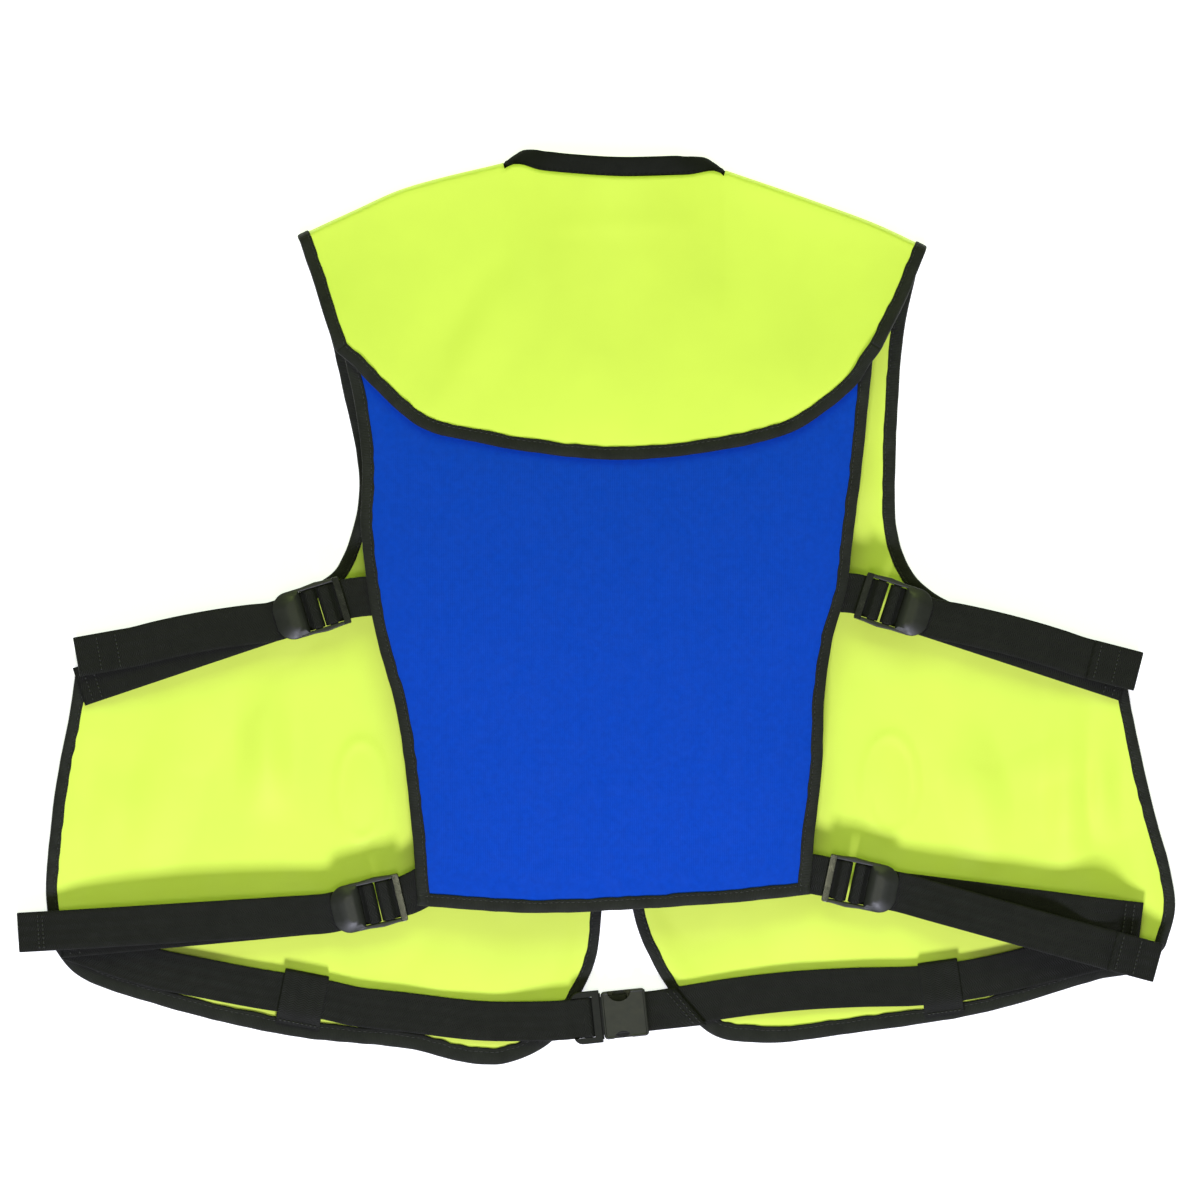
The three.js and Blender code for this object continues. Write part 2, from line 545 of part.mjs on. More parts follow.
/** Short tab from under the back panel, round the tab bar and back. */
function strapTab(row) {
  const { across, place } = strapFrame(row);
  const { tabBar, endBar, endBarHalf, endBarLow } = LADDER_LOCK;
  const root = new THREE.Vector3(...row.tab);
  const upper = endBarLow - SEAM_GAP - WEBBING_THICK / 2 - 0.1;
  const clear = endBar - endBarHalf - 2;
  const lower = [[clear, -WRAP], ...turnRound([tabBar + BAR_FLAT, 0], WRAP, 270, 450, 6)];
  const over = [...turnRound([tabBar - BAR_FLAT, 0], WRAP, 90, 140, 2), [endBar + endBarHalf + 0.6, upper], [clear, upper]];
  const path = [...lower, ...over].map(place);
  const rootAcross = new THREE.Vector3().crossVectors(UP, path[0].clone().sub(root).setZ(0)).normalize();
  const below = root.clone().addScaledVector(UP, -LAYER_RISE);
  const points = [below, ...path, root];
  return webbing(points, [rootAcross, ...path.map(() => across), rootAcross]);
}

/** Body that can be joined and cut, from a closed geometry. */
function bodyOf(geometry) {
  const bare = new THREE.BufferGeometry().setAttribute("position", geometry.getAttribute("position"));
  if (geometry.index) bare.setIndex(geometry.index);
  const welded = mergeVertices(bare, 1e-4);
  return new wasm.Manifold(new wasm.Mesh({
    numProp: 3,
    vertProperties: new Float32Array(welded.getAttribute("position").array),
    triVerts: new Uint32Array(welded.index.array),
  }));
}

/** Geometry of a joined body. */
function geometryOf(body) {
  const { vertProperties, triVerts } = body.getMesh();
  const geometry = new THREE.BufferGeometry();
  geometry.setAttribute("position", new THREE.BufferAttribute(new Float32Array(vertProperties), 3));
  geometry.setIndex([...triVerts]);
  return geometry;
}

/** Block between two corners, as [along, across, height]. */
function block([a0, w0, h0], [a1, w1, h1]) {
  const geometry = new THREE.BoxGeometry(a1 - a0, w1 - w0, h1 - h0);
  return bodyOf(geometry.translate((a0 + a1) / 2, (w0 + w1) / 2, (h0 + h1) / 2));
}

/** Two blocks, one on each side of the long axis. */
function blockPair([a0, w0, h0], [a1, w1, h1]) {
  return block([a0, w0, h0], [a1, w1, h1]).add(block([a0, -w1, h0], [a1, -w0, h1]));
}

/** Bar with rounded edges across the buckle. */
function roundBar(at, half, low, high, reach) {
  const radius = (high - low) / 2;
  const shape = new THREE.Shape();
  shape.absarc(half - radius, 0, radius, -Math.PI / 2, Math.PI / 2, false);
  shape.absarc(radius - half, 0, radius, Math.PI / 2, (3 * Math.PI) / 2, false);
  const geometry = new THREE.ExtrudeGeometry(shape, { depth: 2 * reach, bevelEnabled: false, curveSegments: 4 });
  geometry.translate(0, 0, -reach).rotateX(Math.PI / 2).translate(at, 0, (low + high) / 2);
  return bodyOf(geometry);
}

/** Ladder-lock: rails, strap bar, tab bar, end bar and the rounded lever plate. */
function ladderLock() {
  const size = LADDER_LOCK;
  const reach = (size.railIn + size.railOut) / 2;
  const plate = new THREE.Shape();
  plate.moveTo(0, -size.railOut);
  plate.lineTo(size.leverShoulder - size.leverFrom, -size.railOut);
  plate.quadraticCurveTo(size.leverTo - size.leverFrom, -size.railOut, size.leverTo - size.leverFrom, 0);
  plate.quadraticCurveTo(size.leverTo - size.leverFrom, size.railOut, size.leverShoulder - size.leverFrom, size.railOut);
  plate.lineTo(0, size.railOut);
  const lever = new THREE.ExtrudeGeometry(plate, { depth: size.leverThick, bevelEnabled: false, curveSegments: 6 });
  lever.rotateY(-THREE.MathUtils.degToRad(size.leverTilt)).translate(size.leverFrom, 0, size.leverLow);
  const rails = blockPair(
    [size.railFrom, size.railIn, size.railLow], [size.railTo, size.railOut, size.railHigh],
  );
  return rails
    .add(roundBar(0, size.barHalf, -size.barRadius, size.barRadius, reach))
    .add(roundBar(size.tabBar, size.barHalf, -size.barRadius, size.barRadius, reach))
    .add(roundBar(size.endBar, size.endBarHalf, size.endBarLow, size.endBarHigh, size.railOut))
    .add(bodyOf(lever));
}

/** Place a body whose length runs along a strap. */
function placeOnStrap(geometry, row) {
  const { along, across } = strapFrame(row);
  const matrix = new THREE.Matrix4().makeBasis(along, across, UP).setPosition(new THREE.Vector3(...row.bar));
  return geometry.applyMatrix4(matrix);
}

/** Plug of the side-release buckle: slotted base, two prongs and a keel. */
function releasePlug() {
  const size = RELEASE_BUCKLE;
  const mouth = size.mouth;
  const base = blockPair([-size.plugLength, WEBBING_WIDTH / 2 + 0.8, -1.8], [0, size.plugHalf, mouth])
    .add(block([-mouth, -size.plugHalf, -mouth], [0, size.plugHalf, mouth]))
    .add(block([-size.plugLength, -size.plugHalf, LADDER_LOCK.endBarLow], [-size.plugLength + size.rim, size.plugHalf, mouth]))
    .add(roundBar(size.plugBar, LADDER_LOCK.barHalf, -LADDER_LOCK.barRadius, LADDER_LOCK.barRadius, size.plugHalf - 1));
  const prongs = blockPair([-0.5, size.prongIn, -size.prongHalf], [size.prongLength, size.prongOut, size.prongHalf])
    .add(blockPair(
      [size.windowFrom + SEAM_GAP, size.prongIn, -size.prongHalf],
      [size.prongLength, size.socketHalf - SEAM_GAP, size.prongHalf],
    ));
  return base.add(prongs).add(block([-0.5, -size.keelHalf, -size.prongHalf], [size.prongLength - 2, size.keelHalf, size.prongHalf]));
}

/** Socket of the side-release buckle: hollow body with side windows and a webbing bar at its end. */
function releaseSocket() {
  const size = RELEASE_BUCKLE;
  const inner = size.socketHigh - size.socketWall;
  const slotHalf = WEBBING_WIDTH / 2 + 0.8;
  const bar = roundBar(size.endBar, size.endBarHalf, -LADDER_LOCK.barRadius, LADDER_LOCK.barRadius, slotHalf + 1);
  return block([SEAM_GAP, -size.socketHalf, -size.socketHigh], [size.socketLength, size.socketHalf, size.socketHigh])
    .subtract(block([-1, -size.prongOut - SEAM_GAP, -inner], [size.bayLength, size.prongOut + SEAM_GAP, inner]))
    .subtract(blockPair([size.windowFrom, size.prongOut - 1, -inner], [size.windowTo, size.socketHalf + 1, inner]))
    .subtract(block(
      [size.endSlotFrom, -slotHalf, -size.socketHigh - 1], [size.socketLength + 1, slotHalf, size.socketHigh + 1],
    ))
    .add(bar);
}

/** Own directions of the side-release buckle. */
function releaseFrame() {
  const { x, y, z, turn } = RELEASE_BUCKLE;
  const angle = THREE.MathUtils.degToRad(turn);
  const along = new THREE.Vector3(Math.cos(angle), Math.sin(angle), 0);
  const across = new THREE.Vector3().crossVectors(UP, along);
  const origin = new THREE.Vector3(x, y, z);
  const place = ([a, h]) => origin.clone().addScaledVector(along, a).addScaledVector(UP, h);
  return { across, place, matrix: new THREE.Matrix4().makeBasis(along, across, UP).setPosition(origin) };
}

/** Belt half: level run on the hem, then the given turn at its buckle end. */
function beltHalf(rows, turn) {
  const { across, place } = releaseFrame();
  const run = edgePoints(rows, 18).map((point) => point.setZ(BELT_LEVEL));
  const end = turn.map(place);
  const sideways = tangents(run).map((way) => new THREE.Vector3().crossVectors(UP, way).normalize());
  const facing = Math.sign(sideways.at(-1).dot(across));
  return webbing([...run, ...end], [...sideways, ...end.map(() => across.clone().multiplyScalar(facing))]);
}

/** Turn of the left belt half round the plug bar, under the rim both ways. */
function plugTurn() {
  const { plugBar, plugLength, rim } = RELEASE_BUCKLE;
  const upper = LADDER_LOCK.endBarLow - SEAM_GAP - WEBBING_THICK / 2 - 0.1;
  const rimInside = -plugLength + rim + 0.6;
  return [
    [-plugLength - 4, -WRAP], ...turnRound([plugBar + BAR_FLAT, 0], WRAP, 270, 450, 6),
    ...turnRound([plugBar - BAR_FLAT, 0], WRAP, 90, 140, 2), [rimInside, upper], [-plugLength - 4, upper], [-plugLength - 24, upper],
  ];
}

/** Turn of the right belt half round the socket bar, with its end laid on top. */
function socketTurn() {
  const { socketLength, endBar, endBarHalf } = RELEASE_BUCKLE;
  const endFlat = endBarHalf - LADDER_LOCK.barRadius;
  const top = -WRAP + LAYER_RISE;
  return [
    [socketLength + 6, -WRAP], ...turnRound([endBar - endFlat, 0], WRAP, 270, 90, 6),
    ...turnRound([endBar + endFlat, 0], WRAP, 90, 40, 2), [socketLength + 6, top], [socketLength + 30, top],
  ];
}

/** Belt loop: under the belt, round its upper edge, over it and down on the hem tape. */
function beltLoop({ x, y, turn, width }) {
  const angle = THREE.MathUtils.degToRad(turn);
  const across = new THREE.Vector3(Math.cos(angle), Math.sin(angle), 0);
  const upward = new THREE.Vector3().crossVectors(UP, across);
  const overLevel = 2 * BELT_LEVEL - LOOP_UNDER_LEVEL;
  const half = WEBBING_WIDTH / 2 + 1;
  const radius = (overLevel - LOOP_UNDER_LEVEL) / 2;
  const path = [
    [-half + 3, LOOP_UNDER_LEVEL], ...turnRound([half, BELT_LEVEL], radius, -90, 90, 6), [-half, overLevel],
    [-LOOP_FOOT + 3, LOOP_FOOT_LEVEL], [-LOOP_FOOT, LOOP_FOOT_LEVEL],
  ];
  const points = path.map(([q, h]) => new THREE.Vector3(x, y, h).addScaledVector(upward, q));
  return webbing(points, points.map(() => across), width);
}

// Panels
const yoke = yokeGrid();
const yokeColumns = yoke[0].length;
const seamLeft = yoke.at(-1).slice(0, SHOULDER_CELLS + 1);
const seamRight = yoke.at(-1).slice(yokeColumns - SHOULDER_CELLS - 1).reverse();
const seamShift = new THREE.Vector3(0, -SEAM_GAP - 0.2, 0);
const fronts = {
  left: frontGrid(FRONTS.left, seamLeft.map((point) => point.clone().add(seamShift).setZ(0))),
  right: frontGrid(FRONTS.right, seamRight.map((point) => point.clone().add(seamShift).setZ(0))),
};
const back = backGrid();
addPiece("yoke", sheetSolid(yoke, SHELL_THICK), "shell");
addPiece("front_panel_left", sheetSolid(fronts.left, SHELL_THICK), "shell");
addPiece("front_panel_right", sheetSolid(fronts.right, SHELL_THICK), "shell");
addPiece("back_panel", sheetSolid(back, NEOPRENE_THICK), "neoprene");
addPiece("collar", collarSolid(yoke, fronts), "collar");

// Edge tapes
addPiece("yoke_hem_binding", edgeTape(yoke[0], yoke[1], BACK_TAPE_REACH, 3.6, 3.6), "tape");
addPiece("back_binding_left", edgeTape(column(back, 0), column(back, 1), BACK_TAPE_REACH), "tape");
addPiece("back_binding_right", edgeTape(column(back, -1), column(back, -2), BACK_TAPE_REACH), "tape");
const cornerTrim = BACK_TAPE_REACH + 2 * SEAM_GAP;
addPiece("back_binding_bottom", edgeTape(back[0], back[1], BACK_TAPE_REACH, cornerTrim, cornerTrim), "tape");
for (const [side, c] of [["left", 0], ["right", -1]]) {
  const panel = fronts[side];
  const inward = c === 0 ? 1 : -2;
  const outerRun = [...column(yoke, c), ...column(panel, 0, 0, ARMHOLE_CELLS + 1)];
  const outerInside = [...column(yoke, inward), ...column(panel, 1, 0, ARMHOLE_CELLS + 1)];
  addPiece(`armhole_binding_${side}`, edgeTape(outerRun, outerInside, FRONT_TAPE_REACH, 0, 4.5), "tape");
  const sideRun = [column(panel, 0, ARMHOLE_CELLS), column(panel, 1, ARMHOLE_CELLS)];
  addPiece(`side_binding_${side}`, edgeTape(...sideRun, FRONT_TAPE_REACH, 4.5, 2.5), "tape");
  addPiece(`hem_binding_${side}`, edgeTape(panel.at(-1), panel.at(-2), FRONT_TAPE_REACH, 4, 3), "tape");
  const edgeRun = [column(panel, -1, COLLAR_EDGE_CELLS), column(panel, -2, COLLAR_EDGE_CELLS)];
  addPiece(`front_edge_binding_${side}`, edgeTape(...edgeRun, FRONT_TAPE_REACH, 1.5, 3), "tape");
}

// Side straps with their tabs and buckles
for (const row of SIDE_STRAPS) {
  addPiece(`${row.key}_tab_${row.side}`, strapTab(row), "webbing");
  addPiece(`${row.key}_ladder_lock_${row.side}`, placeOnStrap(geometryOf(ladderLock()), row), "plastic");
  addPiece(`${row.key}_strap_${row.side}`, sideStrap(row), "webbing");
}

// Waist belt
const { matrix: releasePlace } = releaseFrame();
addPiece("buckle_plug", geometryOf(releasePlug()).applyMatrix4(releasePlace), "plastic");
addPiece("buckle_socket", geometryOf(releaseSocket()).applyMatrix4(releasePlace), "plastic");
addPiece("belt_left", beltHalf(BELT_LEFT, plugTurn()), "webbing");
addPiece("belt_right", beltHalf(BELT_RIGHT, socketTurn()), "webbing");
for (const loop of BELT_LOOPS) addPiece(`belt_loop_${loop.side}`, beltLoop(loop), "webbing");

// The vest stands on the floor with the middle of its box on the origin.
const box = new THREE.Box3().setFromObject(vest);
const centre = box.getCenter(new THREE.Vector3());
vest.children.forEach((mesh) => mesh.geometry.translate(-centre.x, -centre.y, -box.min.z));

export default vest;
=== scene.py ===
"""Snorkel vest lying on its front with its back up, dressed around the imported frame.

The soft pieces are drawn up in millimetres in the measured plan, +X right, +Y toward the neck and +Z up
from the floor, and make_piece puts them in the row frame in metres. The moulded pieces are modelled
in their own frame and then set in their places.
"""

from __future__ import annotations

import logging
import math
from collections.abc import Callable
from dataclasses import dataclass
from enum import Enum

import bpy
import numpy as np
from mathutils import Matrix, Vector

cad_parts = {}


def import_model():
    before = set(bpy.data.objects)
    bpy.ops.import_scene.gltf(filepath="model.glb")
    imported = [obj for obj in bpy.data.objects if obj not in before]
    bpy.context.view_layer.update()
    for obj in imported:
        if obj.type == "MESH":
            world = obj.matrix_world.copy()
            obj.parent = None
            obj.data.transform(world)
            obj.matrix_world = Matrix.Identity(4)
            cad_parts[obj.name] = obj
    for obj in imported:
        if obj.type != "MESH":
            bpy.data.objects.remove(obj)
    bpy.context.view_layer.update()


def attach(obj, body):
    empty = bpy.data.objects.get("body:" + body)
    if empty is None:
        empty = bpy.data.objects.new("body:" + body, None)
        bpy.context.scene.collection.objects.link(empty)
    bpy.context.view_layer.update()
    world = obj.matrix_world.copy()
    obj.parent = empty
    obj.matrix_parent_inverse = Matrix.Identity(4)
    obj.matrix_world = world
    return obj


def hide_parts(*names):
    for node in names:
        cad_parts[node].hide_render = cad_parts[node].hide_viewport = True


LOG = logging.getLogger("vest")
MM = 0.001
PLAN_SHIFT = np.array((-0.6149, 0.5132, 0.0))  # from the measured plan to the row frame, in millimetres
WEAVE_MAP = "weave"  # UV map in millimetres of cloth
BODY = "root"
UP = np.array((0.0, 0.0, 1.0))
NOISE_CELLS = 64  # humps of the soft noise before it repeats

Rows = tuple[tuple[float, ...], ...]
Span = tuple[float, float]
Spot = tuple[float, float, float]
Colour = tuple[float, float, float]
Socket = bpy.types.NodeSocket

# Thicknesses and reaches of the cloth
SHELL_THICK = 2.2
NEOPRENE_THICK = 3.0
TAPE_THICK = 0.9
FRONT_TAPE_REACH = 6.3
EDGE_TAPE_REACH = 5.8
ARMHOLE_TAPE_REACH = 7.0
BACK_TAPE_REACH = 7.2
WEBBING_WIDTH = 25.0
WEBBING_THICK = 1.5
LAYER_RISE = 1.9  # from one webbing layer to the next
HEM_RISE = 1.6  # the same where the layers are sewn together
TAIL_HEM = 30.0

# Heights of the mid-surfaces above the floor
FOLD_LEVEL = 3.0
EDGE_LEVEL = 2.35
FLOOR_LEVEL = 1.15
FOLD_RADIUS = (9.0, 6.0)  # shoulder fold at the armhole and at the neck
FOLD_LAP = 10.0
NECK_RISE = 11.0
BACK_LOW, BACK_HIGH, BACK_CROWN = 23.0, 29.0, 6.0
BACK_BULGE = 7.5
YOKE_LIFT = 5.4

# Outlines of the panel edges in plan
YOKE_HEM: Rows = (
    (-162, 161), (-151, 152), (-139, 139.5), (-108.5, 113.5), (-79, 105.5), (-41, 98.5), (15, 93.5),
    (72, 98.5), (109.5, 106.5), (128, 113.5), (161.5, 139), (170.5, 152), (178, 162),
)
YOKE_SIDE_LEFT: Rows = ((-162, 161), (-166.5, 175), (-174.5, 200), (-182, 224.5))
YOKE_SIDE_RIGHT: Rows = ((178, 162), (184.5, 175), (196.5, 200), (203, 217.5))
SHOULDER_LEFT: Rows = ((-182, 224.5), (-148, 241), (-121, 254.3), (-95, 262.9), (-56, 273))
NECK_BACK: Rows = (
    (-56, 273), (-51.5, 275.9), (-46, 276.6), (-37, 275.0), (-22, 273.2), (15, 270.5), (53, 271.5),
    (64, 271.9), (71.5, 272.2), (76, 271.4), (79, 268.6),
)
SHOULDER_RIGHT: Rows = ((79, 268.6), (107, 258.6), (145, 243.8), (173, 232.2), (203, 217.5))
BACK_LEFT: Rows = (
    (-157, 159), (-150.5, 132), (-145, 87), (-146, 55), (-143, 24), (-137, -14), (-123.5, -65),
    (-115, -128), (-110.5, -186),
)
BACK_RIGHT: Rows = (
    (173, 158), (170, 130), (165.5, 87), (159, 36), (156, 11), (148, -16), (142, -58), (141, -98),
    (136, -145), (133.5, -179),
)
BACK_BOTTOM: Rows = ((-110.5, -186), (-79, -188.5), (-35, -190.5), (15, -188.5), (91, -183.5), (133.5, -179))
BACK_TOP: Rows = (
    (-157, 159), (-140, 148), (-105, 122), (-41, 109), (15, 104), (72, 109), (126, 123), (160, 146),
    (173, 158),
)


class Side(Enum):
    """Side of the laid-out vest as seen from above."""

    LEFT = "left"
    RIGHT = "right"


class Slot(Enum):
    """Material slots of the record."""

    COATED = "coated_fabric"
    BLUE = "blue_neoprene"
    BLACK = "black_neoprene"
    TAPE = "edge_tape"
    WEBBING = "webbing"
    PLASTIC = "buckle_plastic"


# Curves, grids and closed cloth


def ease(share: np.ndarray | float) -> np.ndarray:
    """Smooth step from 0 to 1."""
    held = np.clip(share, 0.0, 1.0)
    return held * held * (3.0 - 2.0 * held)


def crown(share: np.ndarray | float) -> np.ndarray | float:
    """Rise from 0 at both ends to 1 in the middle."""
    return 4.0 * share * (1.0 - share)


def unit(vectors: np.ndarray) -> np.ndarray:
    """Vectors of length 1 along the last axis."""
    return vectors / np.maximum(np.linalg.norm(vectors, axis=-1, keepdims=True), 1e-9)


def soft_noise(x: np.ndarray, y: np.ndarray, size: float, seed: int) -> np.ndarray:
    """Smooth random field.

    Args:
        x: Places along X in millimetres.
        y: Places along Y in millimetres.
        size: Width of a hump in millimetres.
        seed: Seed of the field.

    Returns:
        Heights from -1 to 1.
    """
    table = np.random.default_rng(seed).uniform(-1.0, 1.0, (NOISE_CELLS, NOISE_CELLS))
    gx, gy = x / size, y / size
    ix, iy = np.floor(gx).astype(int), np.floor(gy).astype(int)
    fx, fy = ease(gx - ix), ease(gy - iy)
    corner = [[table[(ix + i) % NOISE_CELLS, (iy + j) % NOISE_CELLS] for j in (0, 1)] for i in (0, 1)]
    low = corner[0][0] * (1 - fx) + corner[1][0] * fx
    high = corner[0][1] * (1 - fx) + corner[1][1] * fx
    return low * (1 - fy) + high * fy


def curve_through(rows: np.ndarray, step: float) -> tuple[np.ndarray, np.ndarray]:
    """Centripetal curve through a run of points.

    Args:
        rows: Points that the curve passes.
        step: Largest distance between neighbours on the curve.

    Returns:
        Points of the curve, and the place of each one counted in rows.
    """
    line = np.vstack((2 * rows[0] - rows[1], rows, 2 * rows[-1] - rows[-2]))
    gaps = np.maximum(np.linalg.norm(np.diff(line, axis=0), axis=1) ** 0.5, 1e-6)
    spans, places = [], []
    for k in range(len(rows) - 1):
        p0, p1, p2, p3 = line[k : k + 4]
        d0, d1, d2 = gaps[k : k + 3]
        m1 = ((p1 - p0) / d0 - (p2 - p0) / (d0 + d1) + (p2 - p1) / d1) * d1
        m2 = ((p2 - p1) / d1 - (p3 - p1) / (d1 + d2) + (p3 - p2) / d2) * d1
        count = max(2, math.ceil(d1**2 / step))
        share = np.linspace(0.0, 1.0, count, endpoint=False)
        t = share[:, None]
        spans.append(
            (2 * t**3 - 3 * t**2 + 1) * p1 + (t**3 - 2 * t**2 + t) * m1
            + (3 * t**2 - 2 * t**3) * p2 + (t**3 - t**2) * m2
        )
        places.append(k + share)
    return np.vstack((*spans, rows[-1:])), np.concatenate((*places, [len(rows) - 1.0]))


def run_lengths(points: np.ndarray) -> np.ndarray:
    """Length from the start of a run to each of its points."""
    return np.concatenate(([0.0], np.cumsum(np.linalg.norm(np.diff(points, axis=0), axis=1))))


def between(places: np.ndarray, known: np.ndarray, values: np.ndarray) -> np.ndarray:
    """Rows of values at places between the known ones."""
    return np.stack([np.interp(places, known, values[:, k]) for k in range(values.shape[1])], axis=-1)


def along_run(points: np.ndarray, lengths: np.ndarray) -> np.ndarray:
    """Points of a run at given lengths from its start."""
    return between(lengths, run_lengths(points), points)


def spaced(rows: Rows | np.ndarray, cells: int) -> np.ndarray:
    """Points at equal lengths along the curve through the rows of an outline."""
    dense, _ = curve_through(np.asarray(rows, float), 1.0)
    return along_run(dense, np.linspace(0.0, run_lengths(dense)[-1], cells + 1))


def fill_patch(first: np.ndarray, last: np.ndarray, left: np.ndarray, right: np.ndarray) -> np.ndarray:
    """Grid that fills a four-sided outline.

    Args:
        first: Edge at the first row.
        last: Edge at the last row.
        left: Edge at the first column.
        right: Edge at the last column.

    Returns:
        Grid of points by row and column.
    """
    v = np.linspace(0.0, 1.0, len(left))[:, None, None]
    u = np.linspace(0.0, 1.0, len(first))[None, :, None]
    ruled = first[None] * (1 - v) + last[None] * v + left[:, None] * (1 - u) + right[:, None] * u
    corners = (first[0] * (1 - u) + first[-1] * u) * (1 - v) + (last[0] * (1 - u) + last[-1] * u) * v
    return ruled - corners


@dataclass
class Draft:
    """Closed mesh in millimetres, before it becomes a piece.

    Attributes:
        points: Places of the vertices.
        quads: Vertex numbers of the faces.
        marks: UV of each face corner.
        finish: Number of the material in the piece.
    """

    points: np.ndarray
    quads: np.ndarray
    marks: np.ndarray
    finish: int = 0


def grid_cells(rows: int, columns: int) -> np.ndarray:
    """Vertex numbers of the cells of a grid."""
    index = np.arange(rows * columns).reshape(rows, columns)
    return np.stack((index[:-1, :-1], index[:-1, 1:], index[1:, 1:], index[1:, :-1]), axis=-1).reshape(-1, 4)


def cell_normals(points: np.ndarray, cells: np.ndarray) -> np.ndarray:
    """Normals of four-sided cells, each twice as long as its cell's area."""
    a, b, c, d = (points[cells[:, k]] for k in range(4))
    return np.cross(c - a, d - b)


def looks_inward(points: np.ndarray, quads: np.ndarray) -> bool:
    """Whether the faces of a closed mesh look inward."""
    a, b, c, d = (points[quads[:, k]] - points[quads[0, 0]] for k in range(4))
    return bool(np.sum(a * (np.cross(b, c) + np.cross(c, d))) < 0)


def close_faces(outer: np.ndarray, inner: np.ndarray, cells: np.ndarray, marks: np.ndarray) -> Draft:
    """Cloth between an outer and an inner face, closed along its rim.

    Args:
        outer: Points of the outer face.
        inner: Points of the inner face.
        cells: Vertex numbers of the cells of either face.
        marks: UV of each point.

    Returns:
        Closed mesh with its faces outward.
    """
    count = len(outer)
    edges = np.concatenate([cells[:, [k, (k + 1) % 4]] for k in range(4)])
    rim = edges[~np.isin(edges[:, 0] * count + edges[:, 1], edges[:, 1] * count + edges[:, 0])]
    wall = np.stack((rim[:, 1], rim[:, 0], rim[:, 0] + count, rim[:, 1] + count), axis=1)
    quads = np.concatenate((cells, cells[:, ::-1] + count, wall))
    points = np.vstack((outer, inner))
    if looks_inward(points, quads):
        quads = quads[:, ::-1]
    corner_marks = np.vstack((marks, marks))[quads]
    used, packed = np.unique(quads, return_inverse=True)
    return Draft(points[used], packed.reshape(-1, 4), corner_marks)


def sheet_draft(mid: np.ndarray, thick: float, marks: np.ndarray) -> Draft:
    """Sheet of even thickness.

    Args:
        mid: Grid of mid-surface points. Places that are not a number have no cloth.
        thick: Thickness of the sheet.
        marks: UV of each grid place.

    Returns:
        Closed mesh of the sheet.
    """
    flat = mid.reshape(-1, 3)
    cells = grid_cells(*mid.shape[:2])
    cells = cells[~np.isnan(flat[cells]).any(axis=(1, 2))]
    facing = unit(cell_normals(flat, cells))
    normals = np.zeros_like(flat)
    for k in range(4):
        np.add.at(normals, cells[:, k], facing)
    step = unit(normals) * thick / 2
    return close_faces(flat + step, flat - step, cells, marks.reshape(-1, 2))


def headings(points: np.ndarray) -> np.ndarray:
    """Direction of travel at each point of a run."""
    return unit(np.gradient(points, axis=0))


def lengthened(run: np.ndarray, by: float) -> np.ndarray:
    """Run of points that goes on straight by some length at both ends."""
    return np.vstack((run[0] + unit(run[0] - run[1]) * by, run, run[-1] + unit(run[-1] - run[-2]) * by))


def square_to(vectors: np.ndarray, way: np.ndarray) -> np.ndarray:
    """Vectors of length 1, made square to a direction of travel."""
    return unit(vectors - way * np.sum(vectors * way, axis=1, keepdims=True))


def smoothed(values: np.ndarray, reach: int) -> np.ndarray:
    """Running mean along the first axis with the ends held."""
    padded = np.pad(values, ((reach, reach), (0, 0)), mode="edge")
    return sum(padded[k : k + len(values)] for k in range(2 * reach + 1)) / (2 * reach + 1)


@dataclass
class Sweep:
    """Run of stations that a section follows.

    Attributes:
        at: Places of the stations.
        out: Sideways direction at each station.
        up: Upward direction at each station.
        spread: Factor on the inward side of the section at each station.
        skew: Shift along the run for each millimetre sideways at each station.
    """

    at: np.ndarray
    out: np.ndarray
    up: np.ndarray
    spread: np.ndarray | None = None
    skew: np.ndarray | None = None

    def faces(self, section: np.ndarray) -> np.ndarray:
        """Points of a section at every station.

        Args:
            section: Rows of (out, up) places.

        Returns:
            Points by station and row.
        """
        side = np.tile(section[:, 0], (len(self.at), 1))
        if self.spread is not None:
            side = np.where(side < 0, side * self.spread[:, None], side)
        points = self.at[:, None] + self.out[:, None] * side[..., None]
        points = points + self.up[:, None] * section[None, :, 1:]
        if self.skew is not None:
            points += headings(self.at)[:, None] * (side * self.skew[:, None])[..., None]
        return points

    def part(self, first: int, last: int) -> Sweep:
        """Stations of a run with a spread, from first to last."""
        kept = slice(first, last + 1)
        return Sweep(self.at[kept], self.out[kept], self.up[kept], self.spread[kept])

    def marks(self, section: np.ndarray) -> np.ndarray:
        """UV along the run and across the section."""
        lengths, across = run_lengths(self.at), run_lengths(section)
        return np.stack(np.meshgrid(lengths, across, indexing="ij"), axis=-1).reshape(-1, 2)

    def draft(self, outer: np.ndarray, inner: np.ndarray) -> Draft:
        """Closed mesh between two sections that are swept along the run."""
        faces = (self.faces(section).reshape(-1, 3) for section in (outer, inner))
        return close_faces(*faces, grid_cells(len(self.at), len(outer)), self.marks(outer))


